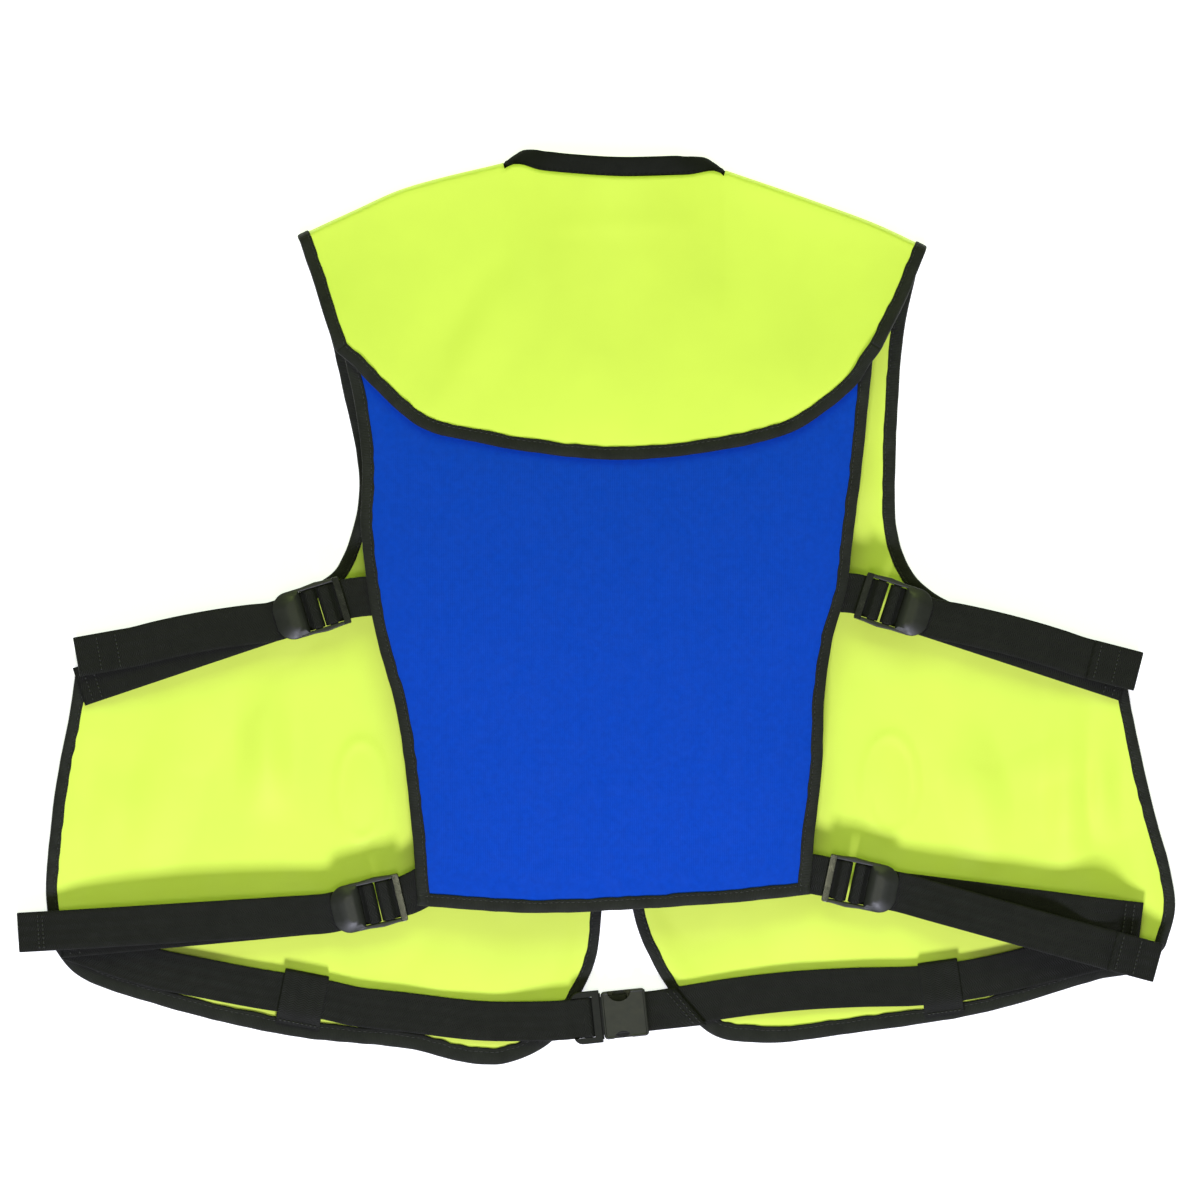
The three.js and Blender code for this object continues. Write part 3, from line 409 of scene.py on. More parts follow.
def stitch_draft(line: np.ndarray, lift: np.ndarray, pitch: float, radius: float, finish: int = 1) -> Draft:
    """Row of thread stitches.

    Args:
        line: Run of points on the cloth.
        lift: Direction out of the cloth at each point.
        pitch: Distance from one stitch to the next.
        radius: Half the thickness of the thread.
        finish: Number of the thread's material in the piece.

    Returns:
        One small closed body for each stitch.
    """
    known = run_lengths(line)
    total = known[-1]
    count = max(int(total / pitch), 1)
    middles = (np.arange(count) + 0.5) * total / count
    shares = np.array((-0.38, -0.24, 0.24, 0.38)) * pitch
    heights = np.array((-0.5, 0.7, 0.7, -0.5)) * radius
    girths = np.array((0.6, 1.0, 1.0, 0.6)) * radius
    lengths = (middles[:, None] + shares).ravel()
    at = along_run(line, lengths)
    normal = unit(between(lengths, known, lift))
    way = np.repeat(unit(at[3::4] - at[::4]), 4, axis=0)
    aside = unit(np.cross(way, normal))
    centre = at + normal * np.tile(heights, count)[:, None]
    girth = np.tile(girths, count)[:, None]
    turns = np.radians((45, 135, 225, 315))
    rings = np.stack([centre + girth * (aside * math.cos(a) + normal * math.sin(a)) for a in turns], axis=1)
    corner = np.arange(4)
    after = np.roll(corner, -1)
    walls = [np.stack((r + corner, r + after, r + 4 + after, r + 4 + corner), axis=1) for r in (0, 4, 8)]
    one = np.vstack((*walls, corner[::-1], 12 + corner))
    quads = (one[None] + 16 * np.arange(count)[:, None, None]).reshape(-1, 4)
    points = rings.reshape(-1, 3)
    if looks_inward(points, quads[: len(one)]):
        quads = quads[:, ::-1]
    return Draft(points, quads, np.zeros((len(quads), 4, 2)), finish)


def make_piece(
    name: str, drafts: list[Draft], materials: list[bpy.types.Material]
) -> bpy.types.Object:
    """Piece of the vest from closed meshes.

    Args:
        name: Name of the piece and of the solid that it stands for.
        drafts: Closed meshes in millimetres.
        materials: Materials by number.

    Returns:
        The finished piece, in place and riding on the body.
    """
    starts = np.cumsum([0] + [len(draft.points) for draft in drafts[:-1]])
    points = (np.vstack([draft.points for draft in drafts]) + PLAN_SHIFT) * MM
    quads = np.vstack([draft.quads + start for draft, start in zip(drafts, starts)])
    mesh = bpy.data.meshes.new(name)
    mesh.from_pydata(points.tolist(), [], quads.tolist())
    marks = np.vstack([draft.marks.reshape(-1, 2) for draft in drafts]).astype(np.float32)
    mesh.uv_layers.new(name=WEAVE_MAP).uv.foreach_set("vector", marks.ravel())
    finish = np.concatenate([np.full(len(draft.quads), draft.finish, np.int32) for draft in drafts])
    mesh.polygons.foreach_set("material_index", finish)
    mesh.polygons.foreach_set("use_smooth", np.ones(len(quads), bool))
    for material in materials:
        mesh.materials.append(material)
    mesh.update()
    return dress(name, mesh)


def dress(name: str, mesh: bpy.types.Mesh) -> bpy.types.Object:
    """Make a piece of a mesh, tie it to the body and hide the solid that it stands for.

    Args:
        name: Name of the piece and of the solid that it stands for.
        mesh: Finished mesh, in place.

    Returns:
        The piece.
    """
    piece = bpy.data.objects.new(name, mesh)
    bpy.context.scene.collection.objects.link(piece)
    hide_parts(name)
    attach(piece, BODY)
    LOG.info("%s: %d faces", name, len(mesh.polygons))
    return piece


# Finishes


class Recipe:
    """Shader nodes of one finish."""

    def __init__(self, name: str) -> None:
        """Start a material with a plain principled shader.

        Args:
            name: Name of the material.
        """
        self.material = bpy.data.materials.new(name)
        self.material.use_nodes = True
        self.tree = self.material.node_tree
        self.shader = self.tree.nodes["Principled BSDF"]

    def node(self, kind: str, values: dict | None = None, **settings: object) -> bpy.types.Node:
        """Add a node.

        Args:
            kind: Node type.
            values: Input sockets by name or number, each a number, a colour or another node's output.
            settings: Properties of the node.

        Returns:
            The node.
        """
        made = self.tree.nodes.new(kind)
        for key, value in settings.items():
            setattr(made, key, value)
        for key, value in (values or {}).items():
            self.feed(made.inputs[key], value)
        return made

    def feed(self, target: Socket, value: object) -> None:
        """Link an output to a socket, or set the socket.

        Args:
            target: Input socket.
            value: Output of another node, or a number or colour.
        """
        if isinstance(value, bpy.types.NodeSocket):
            self.tree.links.new(value, target)
        else:
            target.default_value = value

    def math(self, operation: str, first: object, second: object = 0.0) -> Socket:
        """Result of one sum."""
        return self.node("ShaderNodeMath", {0: first, 1: second}, operation=operation).outputs[0]

    def wave(self, place: Socket, pitch: float) -> Socket:
        """Sine from -1 to 1 that repeats every pitch."""
        return self.math("SINE", self.math("MULTIPLY", place, 2 * math.pi / pitch))

    def cloth_place(self) -> tuple[Socket, Socket]:
        """Places on the cloth.

        Returns:
            Places along and across it in millimetres.
        """
        mapped = self.node("ShaderNodeUVMap", uv_map=WEAVE_MAP).outputs["UV"]
        split = self.node("ShaderNodeSeparateXYZ", {0: mapped})
        return split.outputs["X"], split.outputs["Y"]

    def noise(self, scale: float, detail: float = 2.0) -> Socket:
        """Noise on the piece's own coordinates.

        Args:
            scale: Humps in a metre.
            detail: Count of finer layers.

        Returns:
            The noise, from 0 to 1.
        """
        place = self.node("ShaderNodeTexCoord").outputs["Object"]
        values = {"Vector": place, "Scale": scale, "Detail": detail, "Roughness": 0.55}
        return self.node("ShaderNodeTexNoise", values).outputs["Fac"]

    def spread(self, value: Socket, low: float, high: float, start: float = 0.3, end: float = 0.7) -> Socket:
        """Value stretched from the range start to end onto low to high."""
        values = {"Value": value, "From Min": start, "From Max": end, "To Min": low, "To Max": high}
        return self.node("ShaderNodeMapRange", values).outputs["Result"]

    def mix(self, share: Socket, first: object, second: object) -> Socket:
        """Colour between two colours.

        Args:
            share: Share of the second colour.
            first: First colour.
            second: Second colour.

        Returns:
            The mixed colour.
        """
        mixed = self.node("ShaderNodeMix", data_type="RGBA")
        for key, value in ((0, share), (6, first), (7, second)):
            self.feed(mixed.inputs[key], value)
        return mixed.outputs[2]

    def bump(self, height: Socket, depth: float, strength: float) -> None:
        """Relief of the finish, depth in millimetres."""
        values = {"Height": height, "Distance": depth * MM, "Strength": strength}
        self.set("Normal", self.node("ShaderNodeBump", values).outputs["Normal"])

    def set(self, name: str, value: object) -> None:
        """Set or feed one socket of the shader."""
        self.feed(self.shader.inputs[name], value)

    def tint(self, colour: Colour, tones: Span, scale: float, detail: float = 2.0) -> None:
        """Base colour that wanders between two gains with a noise of some scale and detail."""
        share = self.spread(self.noise(scale, detail), 0.0, 1.0)
        self.set("Base Color", self.mix(share, rgba(colour, tones[0]), rgba(colour, tones[1])))

    def dull(self, limits: Span, scale: float) -> None:
        """Roughness that wanders between two limits with a noise of some scale."""
        self.set("Roughness", self.spread(self.noise(scale), *limits))


def rgba(colour: Colour, gain: float = 1.0) -> tuple[float, float, float, float]:
    """Colour with a gain and full opacity."""
    return tuple(min(part * gain, 1.0) for part in colour) + (1.0,)


@dataclass(frozen=True)
class CoatedFabric:
    """Hi-vis coated fabric: fine plain weave under a satin film."""

    name: str = "coated fabric"
    colour: Colour = (0.72, 0.885, 0.112)
    tones: Span = (0.96, 1.03)
    yarn: float = 0.9
    weave_share: float = 0.35
    roughness: Span = (0.37, 0.47)
    specular: float = 0.34
    relief: Span = (0.10, 0.35)  # depth in millimetres and strength

    def material(self) -> bpy.types.Material:
        """Weave, faint cloudy tone and a satin film.

        Returns:
            The finished material.
        """
        recipe = Recipe(self.name)
        along, across = recipe.cloth_place()
        weave = recipe.math("MULTIPLY", recipe.wave(along, self.yarn), recipe.wave(across, self.yarn))
        grain = recipe.noise(420.0, 3.0)
        height = recipe.math("ADD", recipe.math("MULTIPLY", weave, self.weave_share), grain)
        recipe.tint(self.colour, self.tones, 13.0, 3.0)
        recipe.dull(self.roughness, 60.0)
        recipe.set("Specular IOR Level", self.specular)
        recipe.bump(height, *self.relief)
        return recipe.material


@dataclass(frozen=True)
class Neoprene:
    """Foam rubber with a knitted face."""

    name: str
    colour: Colour
    wale: float = 1.15
    course: float = 0.95
    tones: Span = (0.93, 1.07)
    roughness: Span = (0.72, 0.86)
    specular: float = 0.1
    sheen: float = 0.02
    sheen_gain: float = 1.4
    relief: Span = (0.16, 0.5)

    def material(self) -> bpy.types.Material:
        """Knit loops, faint mottling and a soft nap.

        Returns:
            The finished material.
        """
        recipe = Recipe(self.name)
        along, across = recipe.cloth_place()
        wale = recipe.math("ABSOLUTE", recipe.wave(along, 2 * self.wale))
        slant = recipe.math("MULTIPLY", wale, 0.45 * self.course)
        loops = recipe.wave(recipe.math("ADD", across, slant), self.course)
        knit = recipe.math("MULTIPLY", wale, recipe.math("ADD", recipe.math("MULTIPLY", loops, 0.3), 0.7))
        recipe.tint(self.colour, self.tones, 260.0, 4.0)
        recipe.dull(self.roughness, 90.0)
        recipe.set("Specular IOR Level", self.specular)
        recipe.set("Sheen Weight", self.sheen)
        recipe.set("Sheen Roughness", 0.45)
        recipe.set("Sheen Tint", rgba(self.colour, self.sheen_gain))
        recipe.bump(knit, *self.relief)
        return recipe.material


@dataclass(frozen=True)
class Webbing:
    """Woven nylon webbing with a herringbone face."""

    name: str = "webbing"
    colour: Colour = (0.0052, 0.0055, 0.005)
    stripe: float = 3.1
    rib: float = 1.5
    # gains of the painted shade in the rib hollows and the painted highlight on the crests
    tones: Span = (0.75, 1.35)
    fuzz_gain: float = 1.25
    roughness: Span = (0.58, 0.72)
    specular: float = 0.19
    sheen: float = 0.02
    relief: Span = (0.22, 0.6)

    def material(self) -> bpy.types.Material:
        """Herringbone ribs, warp yarns and a dull gloss, with painted shade in the rib hollows and painted
        highlight on the crests.

        Returns:
            The finished material.
        """
        recipe = Recipe(self.name)
        along, across = recipe.cloth_place()
        zigzag = recipe.math("PINGPONG", across, self.stripe)
        ribs = recipe.wave(recipe.math("ADD", along, recipe.math("MULTIPLY", zigzag, 0.6)), self.rib)
        yarns = recipe.wave(across, self.stripe / 4)
        height = recipe.math("ADD", recipe.math("MULTIPLY", ribs, 0.7), recipe.math("MULTIPLY", yarns, 0.3))
        # colour follows the rib height: painted shade in the hollows, painted highlight on the crests
        shade = recipe.spread(height, 0.0, 1.0, -0.8, 0.8)
        fuzz = recipe.spread(recipe.noise(55.0, 4.0), 0.0, 1.0)
        tone = recipe.mix(shade, *(rgba(self.colour, gain) for gain in self.tones))
        recipe.set("Base Color", recipe.mix(fuzz, tone, rgba(self.colour, self.fuzz_gain)))
        recipe.dull(self.roughness, 120.0)
        recipe.set("Specular IOR Level", self.specular)
        recipe.set("Sheen Weight", self.sheen)
        recipe.set("Sheen Roughness", 0.4)
        recipe.bump(height, *self.relief)
        return recipe.material


@dataclass(frozen=True)
class EdgeTape:
    """Woven edge tape with ribs across it."""

    name: str = "edge tape"
    colour: Colour = (0.011, 0.012, 0.0105)
    rib: float = 1.0
    yarn: float = 0.7
    tones: Span = (0.8, 1.3)
    roughness: Span = (0.6, 0.78)
    specular: float = 0.22
    sheen: float = 0.02
    relief: Span = (0.14, 0.55)

    def material(self) -> bpy.types.Material:
        """Cross ribs and a dull face with a little lint.

        Returns:
            The finished material.
        """
        recipe = Recipe(self.name)
        along, across = recipe.cloth_place()
        ribs = recipe.wave(along, self.rib)
        yarns = recipe.wave(across, self.yarn)
        height = recipe.math("ADD", ribs, recipe.math("MULTIPLY", yarns, 0.35))
        recipe.tint(self.colour, self.tones, 75.0, 5.0)
        recipe.dull(self.roughness, 140.0)
        recipe.set("Specular IOR Level", self.specular)
        recipe.set("Sheen Weight", self.sheen)
        recipe.bump(height, *self.relief)
        return recipe.material


@dataclass(frozen=True)
class BucklePlastic:
    """Moulded acetal with a fine eroded grain."""

    name: str = "buckle plastic"
    colour: Colour = (0.011, 0.012, 0.011)
    tones: Span = (0.9, 1.15)
    roughness: Span = (0.41, 0.52)
    gloss: float = 0.42
    relief: Span = (0.05, 0.3)

    def material(self) -> bpy.types.Material:
        """Fine grain with a satin gloss.

        Returns:
            The finished material.
        """
        recipe = Recipe(self.name)
        recipe.tint(self.colour, self.tones, 110.0, 3.0)
        recipe.dull(self.roughness, 300.0)
        recipe.set("Specular IOR Level", self.gloss)
        recipe.bump(recipe.noise(1900.0), *self.relief)
        return recipe.material


@dataclass(frozen=True)
class Thread:
    """Bonded sewing thread."""

    name: str = "thread"
    colour: Colour = (0.014, 0.015, 0.0135)
    tones: Span = (0.8, 1.3)

    def material(self) -> bpy.types.Material:
        """Twisted yarn with a dull gloss.

        Returns:
            The finished material.
        """
        recipe = Recipe(self.name)
        recipe.tint(self.colour, self.tones, 700.0)
        recipe.set("Roughness", 0.5)
        return recipe.material


@dataclass
class Wardrobe:
    """Materials of the vest, one for each finish."""

    coated: bpy.types.Material
    blue: bpy.types.Material
    black: bpy.types.Material
    tape: bpy.types.Material
    webbing: bpy.types.Material
    plastic: bpy.types.Material
    gloss: bpy.types.Material
    matt: bpy.types.Material
    thread: bpy.types.Material

    @classmethod
    def filled(cls) -> Wardrobe:
        """All finishes made up.

        Returns:
            The filled wardrobe.
        """
        return cls(
            coated=CoatedFabric().material(),
            blue=Neoprene("blue neoprene", (0.0012, 0.049, 0.51)).material(),
            black=Neoprene("black neoprene", (0.009, 0.0095, 0.009)).material(),
            tape=EdgeTape().material(),
            webbing=Webbing().material(),
            plastic=BucklePlastic().material(),
            gloss=BucklePlastic("polished plastic", roughness=(0.17, 0.28)).material(),
            # plug plastic: the buckle plastic made rougher, with its colour darkened as painted shade
            matt=BucklePlastic(
                "matt plastic", (0.0075, 0.008, 0.0075), roughness=(0.57, 0.68), gloss=0.26
            ).material(),
            thread=Thread().material(),
        )


# Panels


@dataclass(frozen=True)
class Swell:
    """Soft ridge in a panel: middle, half lengths, heading in degrees and rise."""

    x: float
    y: float
    long: float
    wide: float
    turn: float
    rise: float

    def at(self, x: np.ndarray, y: np.ndarray) -> np.ndarray:
        """Height of the ridge.

        Args:
            x: Places along X.
            y: Places along Y.

        Returns:
            Height at each place.
        """
        angle = math.radians(self.turn)
        dx, dy = x - self.x, y - self.y
        s = (dx * math.cos(angle) + dy * math.sin(angle)) / self.long
        t = (dy * math.cos(angle) - dx * math.sin(angle)) / self.wide
        return self.rise * np.maximum(0.0, 1.0 - s * s - t * t) ** 2


@dataclass(frozen=True)
class Crease:
    """Cloth pushed up at one end: middle of the crest, half width, length of its slope and rise."""

    x: float
    y: float
    half: float
    long: float
    rise: float

    def at(self, x: np.ndarray, y: np.ndarray) -> np.ndarray:
        """Height of the crease.

        Args:
            x: Places along X.
            y: Places along Y.

        Returns:
            Height at each place.
        """
        side = ease(1.0 - np.abs(x - self.x) / self.half)
        share = (y - self.y) / self.long
        return self.rise * side * ease(share / 0.5 + 1.0) * ease(1.0 - share)


@dataclass(frozen=True)
class OvalMark:
    """Raised oval ring pressed through a panel: middle, half widths and rise."""

    x: float
    y: float
    half_x: float
    half_y: float
    rise: float
    bead: float = 1.7

    def at(self, x: np.ndarray, y: np.ndarray) -> np.ndarray:
        """Height of the ring.

        Args:
            x: Places along X.
            y: Places along Y.

        Returns:
            Height at each place.
        """
        spoke = np.hypot((x - self.x) / self.half_x, (y - self.y) / self.half_y)
        off = (spoke - 1.0) * min(self.half_x, self.half_y)
        return self.rise * np.exp(-((off / self.bead) ** 2))


def edge_distance(grid: np.ndarray) -> np.ndarray:
    """Distance in plan from the outline of a grid.

    Args:
        grid: Points by row and column.

    Returns:
        Distance of every grid place.
    """
    outline = np.vstack((grid[0], grid[-1], grid[:, 0], grid[:, -1]))[:, :2]
    flat = grid.reshape(-1, grid.shape[-1])[:, :2]
    nearest = [np.linalg.norm(outline - place, axis=1).min() for place in flat]
    return np.array(nearest).reshape(grid.shape[:2])


@dataclass
class Yoke:
    """Shoulder yoke, folded over both shoulders to the seams on the front."""

    shoulder_cells: int = 40
    neck_cells: int = 44
    rows: int = 56
    fold_steps: int = 20
    lap_steps: int = 3
    pucker: float = 0.35
    pucker_pitch: float = 13.0
    bulge: Span = (3.0, 3.2)

    def grid(self) -> np.ndarray:
        """Mid-surface from the hem over the folds to the shoulder seams.

        Returns:
            Grid of points by row and column.
        """
        left, right = (spaced(rows, self.shoulder_cells) for rows in (SHOULDER_LEFT, SHOULDER_RIGHT))
        top = np.vstack((left, spaced(NECK_BACK, self.neck_cells)[1:], right[1:]))
        columns = len(top) - 1
        c = np.arange(columns + 1)
        shoulder = ease(np.minimum(c, columns - c) / self.shoulder_cells)
        radius, bulge = (ends[0] * (1 - shoulder) + ends[1] * shoulder for ends in (FOLD_RADIUS, self.bulge))
        heading = headings(top)
        past = np.minimum(c - self.shoulder_cells, columns - self.shoulder_cells - c)
        moved = (radius - bulge) * (1.0 - ease(past / 8.0))
        top = top + np.stack((-heading[:, 1], heading[:, 0]), axis=1) * moved[:, None]
        plan = fill_patch(
            spaced(YOKE_HEM, columns), top,
            spaced((*YOKE_SIDE_LEFT[:-1], tuple(top[0])), self.rows),
            spaced((*YOKE_SIDE_RIGHT[:-1], tuple(top[-1])), self.rows),
        )
        neck_share = np.clip((c - self.shoulder_cells) / self.neck_cells, 0.0, 1.0)
        hem_level = BACK_HIGH + YOKE_LIFT + BACK_CROWN * crown(c / columns)
        top_level = FOLD_LEVEL + 2 * radius + NECK_RISE * np.sin(math.pi * neck_share) ** 1.6
        rise = ease(np.linspace(0.0, 1.0, self.rows + 1))[:, None]
        level = hem_level * (1 - rise) + top_level * rise + self.relief(plan)
        back = np.dstack((plan, level))
        return np.vstack((back, self.fold(back[-1], radius, bulge)))

    def relief(self, plan: np.ndarray) -> np.ndarray:
        """Soft waves of the cloth and puckers along the taped hem.

        Args:
            plan: Grid of places in plan.

        Returns:
            Height at each place.
        """
        x, y = plan[..., 0], plan[..., 1]
        v = np.linspace(0.0, 1.0, self.rows + 1)[:, None]
        calm = np.minimum(ease(v / 0.12), ease((1 - v) / 0.18))
        waves = 0.8 * soft_noise(x, y, 66.0, 11) + 0.3 * soft_noise(x, y, 27.0, 12)
        folds = Swell(-64, 176, 60, 26, 60, 2.2).at(x, y) - Swell(-101, 160, 58, 24, 60, 1.4).at(x, y)
        arcs = Swell(12, 240, 70, 10, 0, 0.5).at(x, y) + Swell(74, 170, 54, 26, 108, 0.7).at(x, y)
        phase = 2 * math.pi * x / self.pucker_pitch + 2.2 * soft_noise(x, y, 30.0, 13)
        gather = self.pucker * np.sin(phase) * np.exp(-v / 0.07)
        return calm * (waves + folds + arcs) + gather * np.minimum(v / 0.03, 1.0)

    def fold(self, crest: np.ndarray, radius: np.ndarray, bulge: np.ndarray) -> np.ndarray:
        """Rows that carry the cloth over the shoulder folds to the seams.

        Args:
            crest: Last row of the back.
            radius: Half height of the fold at each column.
            bulge: How far the fold stands out at each column.

        Returns:
            Grid of the folded rows, with no cloth at the neck.
        """
        columns = len(crest) - 1
        ends = (self.shoulder_cells, columns - self.shoulder_cells)
        way = np.zeros_like(crest)
        for part in (slice(0, ends[0] + 1), slice(ends[1], columns + 1)):
            heading = headings(crest[part] * (1, 1, 0))
            way[part] = np.stack((-heading[:, 1], heading[:, 0], 0 * heading[:, 0]), axis=1)
        bare = np.zeros(columns + 1, bool)
        bare[ends[0] + 1 : ends[1]] = True
        rows = []
        for angle in np.linspace(0.0, math.pi, self.fold_steps + 1)[1:]:
            drop = UP * radius[:, None] * (math.cos(angle) - 1.0)
            rows.append(crest + way * bulge[:, None] * math.sin(angle) + drop)
        for share in np.linspace(0.0, 1.0, self.lap_steps + 1)[1:]:
            rows.append(rows[self.fold_steps - 1] - way * FOLD_LAP * share)
        folded = np.stack(rows)
        folded[:, bare] = np.nan
        return folded

    def build(self, wardrobe: Wardrobe, grid: np.ndarray) -> bpy.types.Object:
        """Make the yoke from its mid-surface.

        Args:
            wardrobe: Materials of the vest.
            grid: Mid-surface of the yoke.

        Returns:
            The finished piece.
        """
        steps = np.nan_to_num(np.linalg.norm(np.diff(grid, axis=0), axis=2))
        length = np.vstack((np.zeros(grid.shape[1]), np.cumsum(steps, axis=0)))
        marks = np.dstack((np.broadcast_to(grid[0, :, 0], length.shape), length))
        draft = sheet_draft(grid, SHELL_THICK, marks)
        piece = make_piece("yoke", [draft], [wardrobe.coated])
        return piece


@dataclass(frozen=True)
class FrontPanel:
    """Front panel of coated fabric that lies on the floor, seen from inside."""

    side: Side
    armhole: Rows
    outer: Rows
    hem: Rows
    centre: Rows
    neck_bend: Span
    hem_tape: Span
    swells: tuple[Swell | Crease, ...]
    marks: tuple[OvalMark, ...]
    columns: int = 128
    armhole_cells: int = 150
    outer_cells: int = 86
    neck_cells: int = 50
    seed: int = 21

    def grid(self, seam: np.ndarray) -> np.ndarray:
        """Mid-surface from the shoulder seam to the hem, columns from the armhole to the front edge.

        Args:
            seam: Places of the shoulder seam from the armhole to the neck.

        Returns:
            Grid of points by row and column.
        """
        first, last = tuple(seam[0, :2]), tuple(seam[-1, :2])
        rows = self.armhole_cells + self.outer_cells
        armhole = spaced((first, *self.armhole), self.armhole_cells)
        left = np.vstack((armhole, spaced(self.outer, self.outer_cells)[1:]))
        neck = spaced((last, self.neck_bend, self.centre[0]), self.neck_cells)
        right = np.vstack((neck, spaced(self.centre, rows - self.neck_cells)[1:]))
        top = along_run(seam[:, :2], np.linspace(0.0, run_lengths(seam[:, :2])[-1], self.columns + 1))
        plan = fill_patch(top, spaced(self.hem, self.columns), left, right)
        return np.dstack((plan, self.level(plan)))

    def level(self, plan: np.ndarray) -> np.ndarray:
        """Height of the cloth: flat on the floor, raised at its taped edges, with ridges and pressed ovals.

        Args:
            plan: Grid of places in plan.

        Returns:
            Height at each place.
        """
        x, y = plan[..., 0], plan[..., 1]
        away = edge_distance(plan)
        edge = 1.0 - ease((away - 3.0) / 20.0)
        waves = 1.5 * soft_noise(x, y, 62.0, self.seed) + 0.5 * soft_noise(x, y, 25.0, self.seed + 1)
        swell = np.max([ridge.at(x, y) for ridge in self.swells], axis=0)
        ovals = np.sum([mark.at(x, y) for mark in self.marks], axis=0)
        lift = 1.3 * np.maximum(0.0, soft_noise(x, y, 70.0, self.seed + 2)) * np.exp(-away / 22.0)
        soft = np.maximum(0.0, waves + 0.35) * ease(away / 16.0)
        return FLOOR_LEVEL + (EDGE_LEVEL - FLOOR_LEVEL) * edge + swell + soft + ovals + lift

    def build(self, wardrobe: Wardrobe, grid: np.ndarray) -> bpy.types.Object:
        """Make the panel from its mid-surface.

        Args:
            wardrobe: Materials of the vest.
            grid: Mid-surface of the panel.

        Returns:
            The finished piece.
        """
        name = f"front_panel_{self.side.value}"
        draft = sheet_draft(grid, SHELL_THICK, grid[..., :2])
        piece = make_piece(name, [draft], [wardrobe.coated])
        return piece


FRONT_PANELS = (
    FrontPanel(
        side=Side.LEFT,
        armhole=(
            (-166, 172), (-158, 137), (-149, 95), (-148, 70), (-152, 48), (-163, 23), (-179, 12), (-205, 1),
            (-249, -15), (-326, -40),
        ),
        outer=((-326, -40), (-330, -66), (-337.5, -105), (-342, -140), (-345, -178), (-341, -213)),
        hem=(
            (-341, -213), (-326, -230.5), (-268, -251.2), (-192, -268.8), (-117, -277), (-79, -286),
            (-57, -286), (-29, -273), (-17, -256),
        ),
        centre=((0.5, 165), (2.5, 68), (3.5, -58), (2.5, -192), (-1.5, -223), (-17, -256)),
        neck_bend=(-28, 212),
        hem_tape=(9.4, 9.4),
        swells=(
            Crease(-208, -100, 21, 78, 3.9), Swell(-272, -120, 60, 26, 78, 2.4),
            Swell(-148, -116, 46, 24, 88, 1.6),
        ),
        marks=(OvalMark(-147.5, -115, 14.5, 30.5, 0.65),),
    ),
    FrontPanel(
        side=Side.RIGHT,
        armhole=(
            (193, 172), (189, 124), (187.5, 74), (188.5, 49), (197.5, 23), (212, 8.5), (240, -5), (298, -29),
            (333.5, -48),
        ),
        outer=((333.5, -48), (339, -77), (350.5, -128), (359.5, -160), (364, -190), (357.5, -214)),
        hem=(
            (357.5, -214), (341, -228), (318, -232.9), (242, -254.6), (167, -266.3), (110, -273), (76, -269),
            (54, -250),
        ),
        centre=((21.5, 165), (20.5, 68), (21.5, -58), (24.5, -189.5), (36.5, -222.5), (54, -250)),
        neck_bend=(50, 212),
        hem_tape=(6.4, 10.2),
        swells=(
            Crease(297, -128, 18, 98, 3.4), Crease(319, -118, 14, 70, 2.2),
            Swell(240, -120, 56, 24, 98, 2.4), Swell(182, -112, 48, 24, 88, 1.6),
        ),
        marks=(OvalMark(185.5, -111.5, 16.5, 31, 0.6),),
        seed=41,
    ),
)


@dataclass
class BackPanel:
    """Blue neoprene back panel."""

    columns: int = 96
    rows: int = 108

    def grid(self) -> np.ndarray:
        """Mid-surface from the bottom edge to the edge under the yoke.

        Returns:
            Grid of points by row and column.
        """
        plan = fill_patch(
            spaced(BACK_BOTTOM, self.columns), spaced(BACK_TOP, self.columns),
            spaced(BACK_LEFT[::-1], self.rows), spaced(BACK_RIGHT[::-1], self.rows),
        )
        x, y = plan[..., 0], plan[..., 1]
        u = np.linspace(0.0, 1.0, self.columns + 1)[None]
        v = np.linspace(0.0, 1.0, self.rows + 1)[:, None]
        slope = BACK_LOW * (1 - v) + BACK_HIGH * v
        level = slope + BACK_CROWN * crown(u) + BACK_BULGE * crown(v) * crown(u) ** 0.5
        inner = np.minimum(crown(u), crown(v))
        waves = 0.7 * soft_noise(x, y, 80.0, 51) + 0.15 * soft_noise(x, y, 34.0, 52)
        return np.dstack((plan, level + waves * ease(inner / 0.4)))

    def build(self, wardrobe: Wardrobe, grid: np.ndarray) -> bpy.types.Object:
        """Make the panel from its mid-surface.

        Args:
            wardrobe: Materials of the vest.
            grid: Mid-surface of the panel.

        Returns:
            The finished piece.
        """
        draft = sheet_draft(grid, NEOPRENE_THICK, grid[..., :2])
        piece = make_piece("back_panel", [draft], [wardrobe.blue])
        return piece


# Edge tapes and collar


@dataclass
class Leg:
    """Stretch of panel edge under one tape.

    Attributes:
        name: Name of the tape and of its solid in the frame.
        edge: Run of points on the panel's edge.
        inside: Points of the panel just inside of the edge.
        reach: Cover of the tape on the panel at its start.
        end_reach: The same at its end, where it differs.
    """

    name: str
    edge: np.ndarray
    inside: np.ndarray
    reach: float
    end_reach: float | None = None


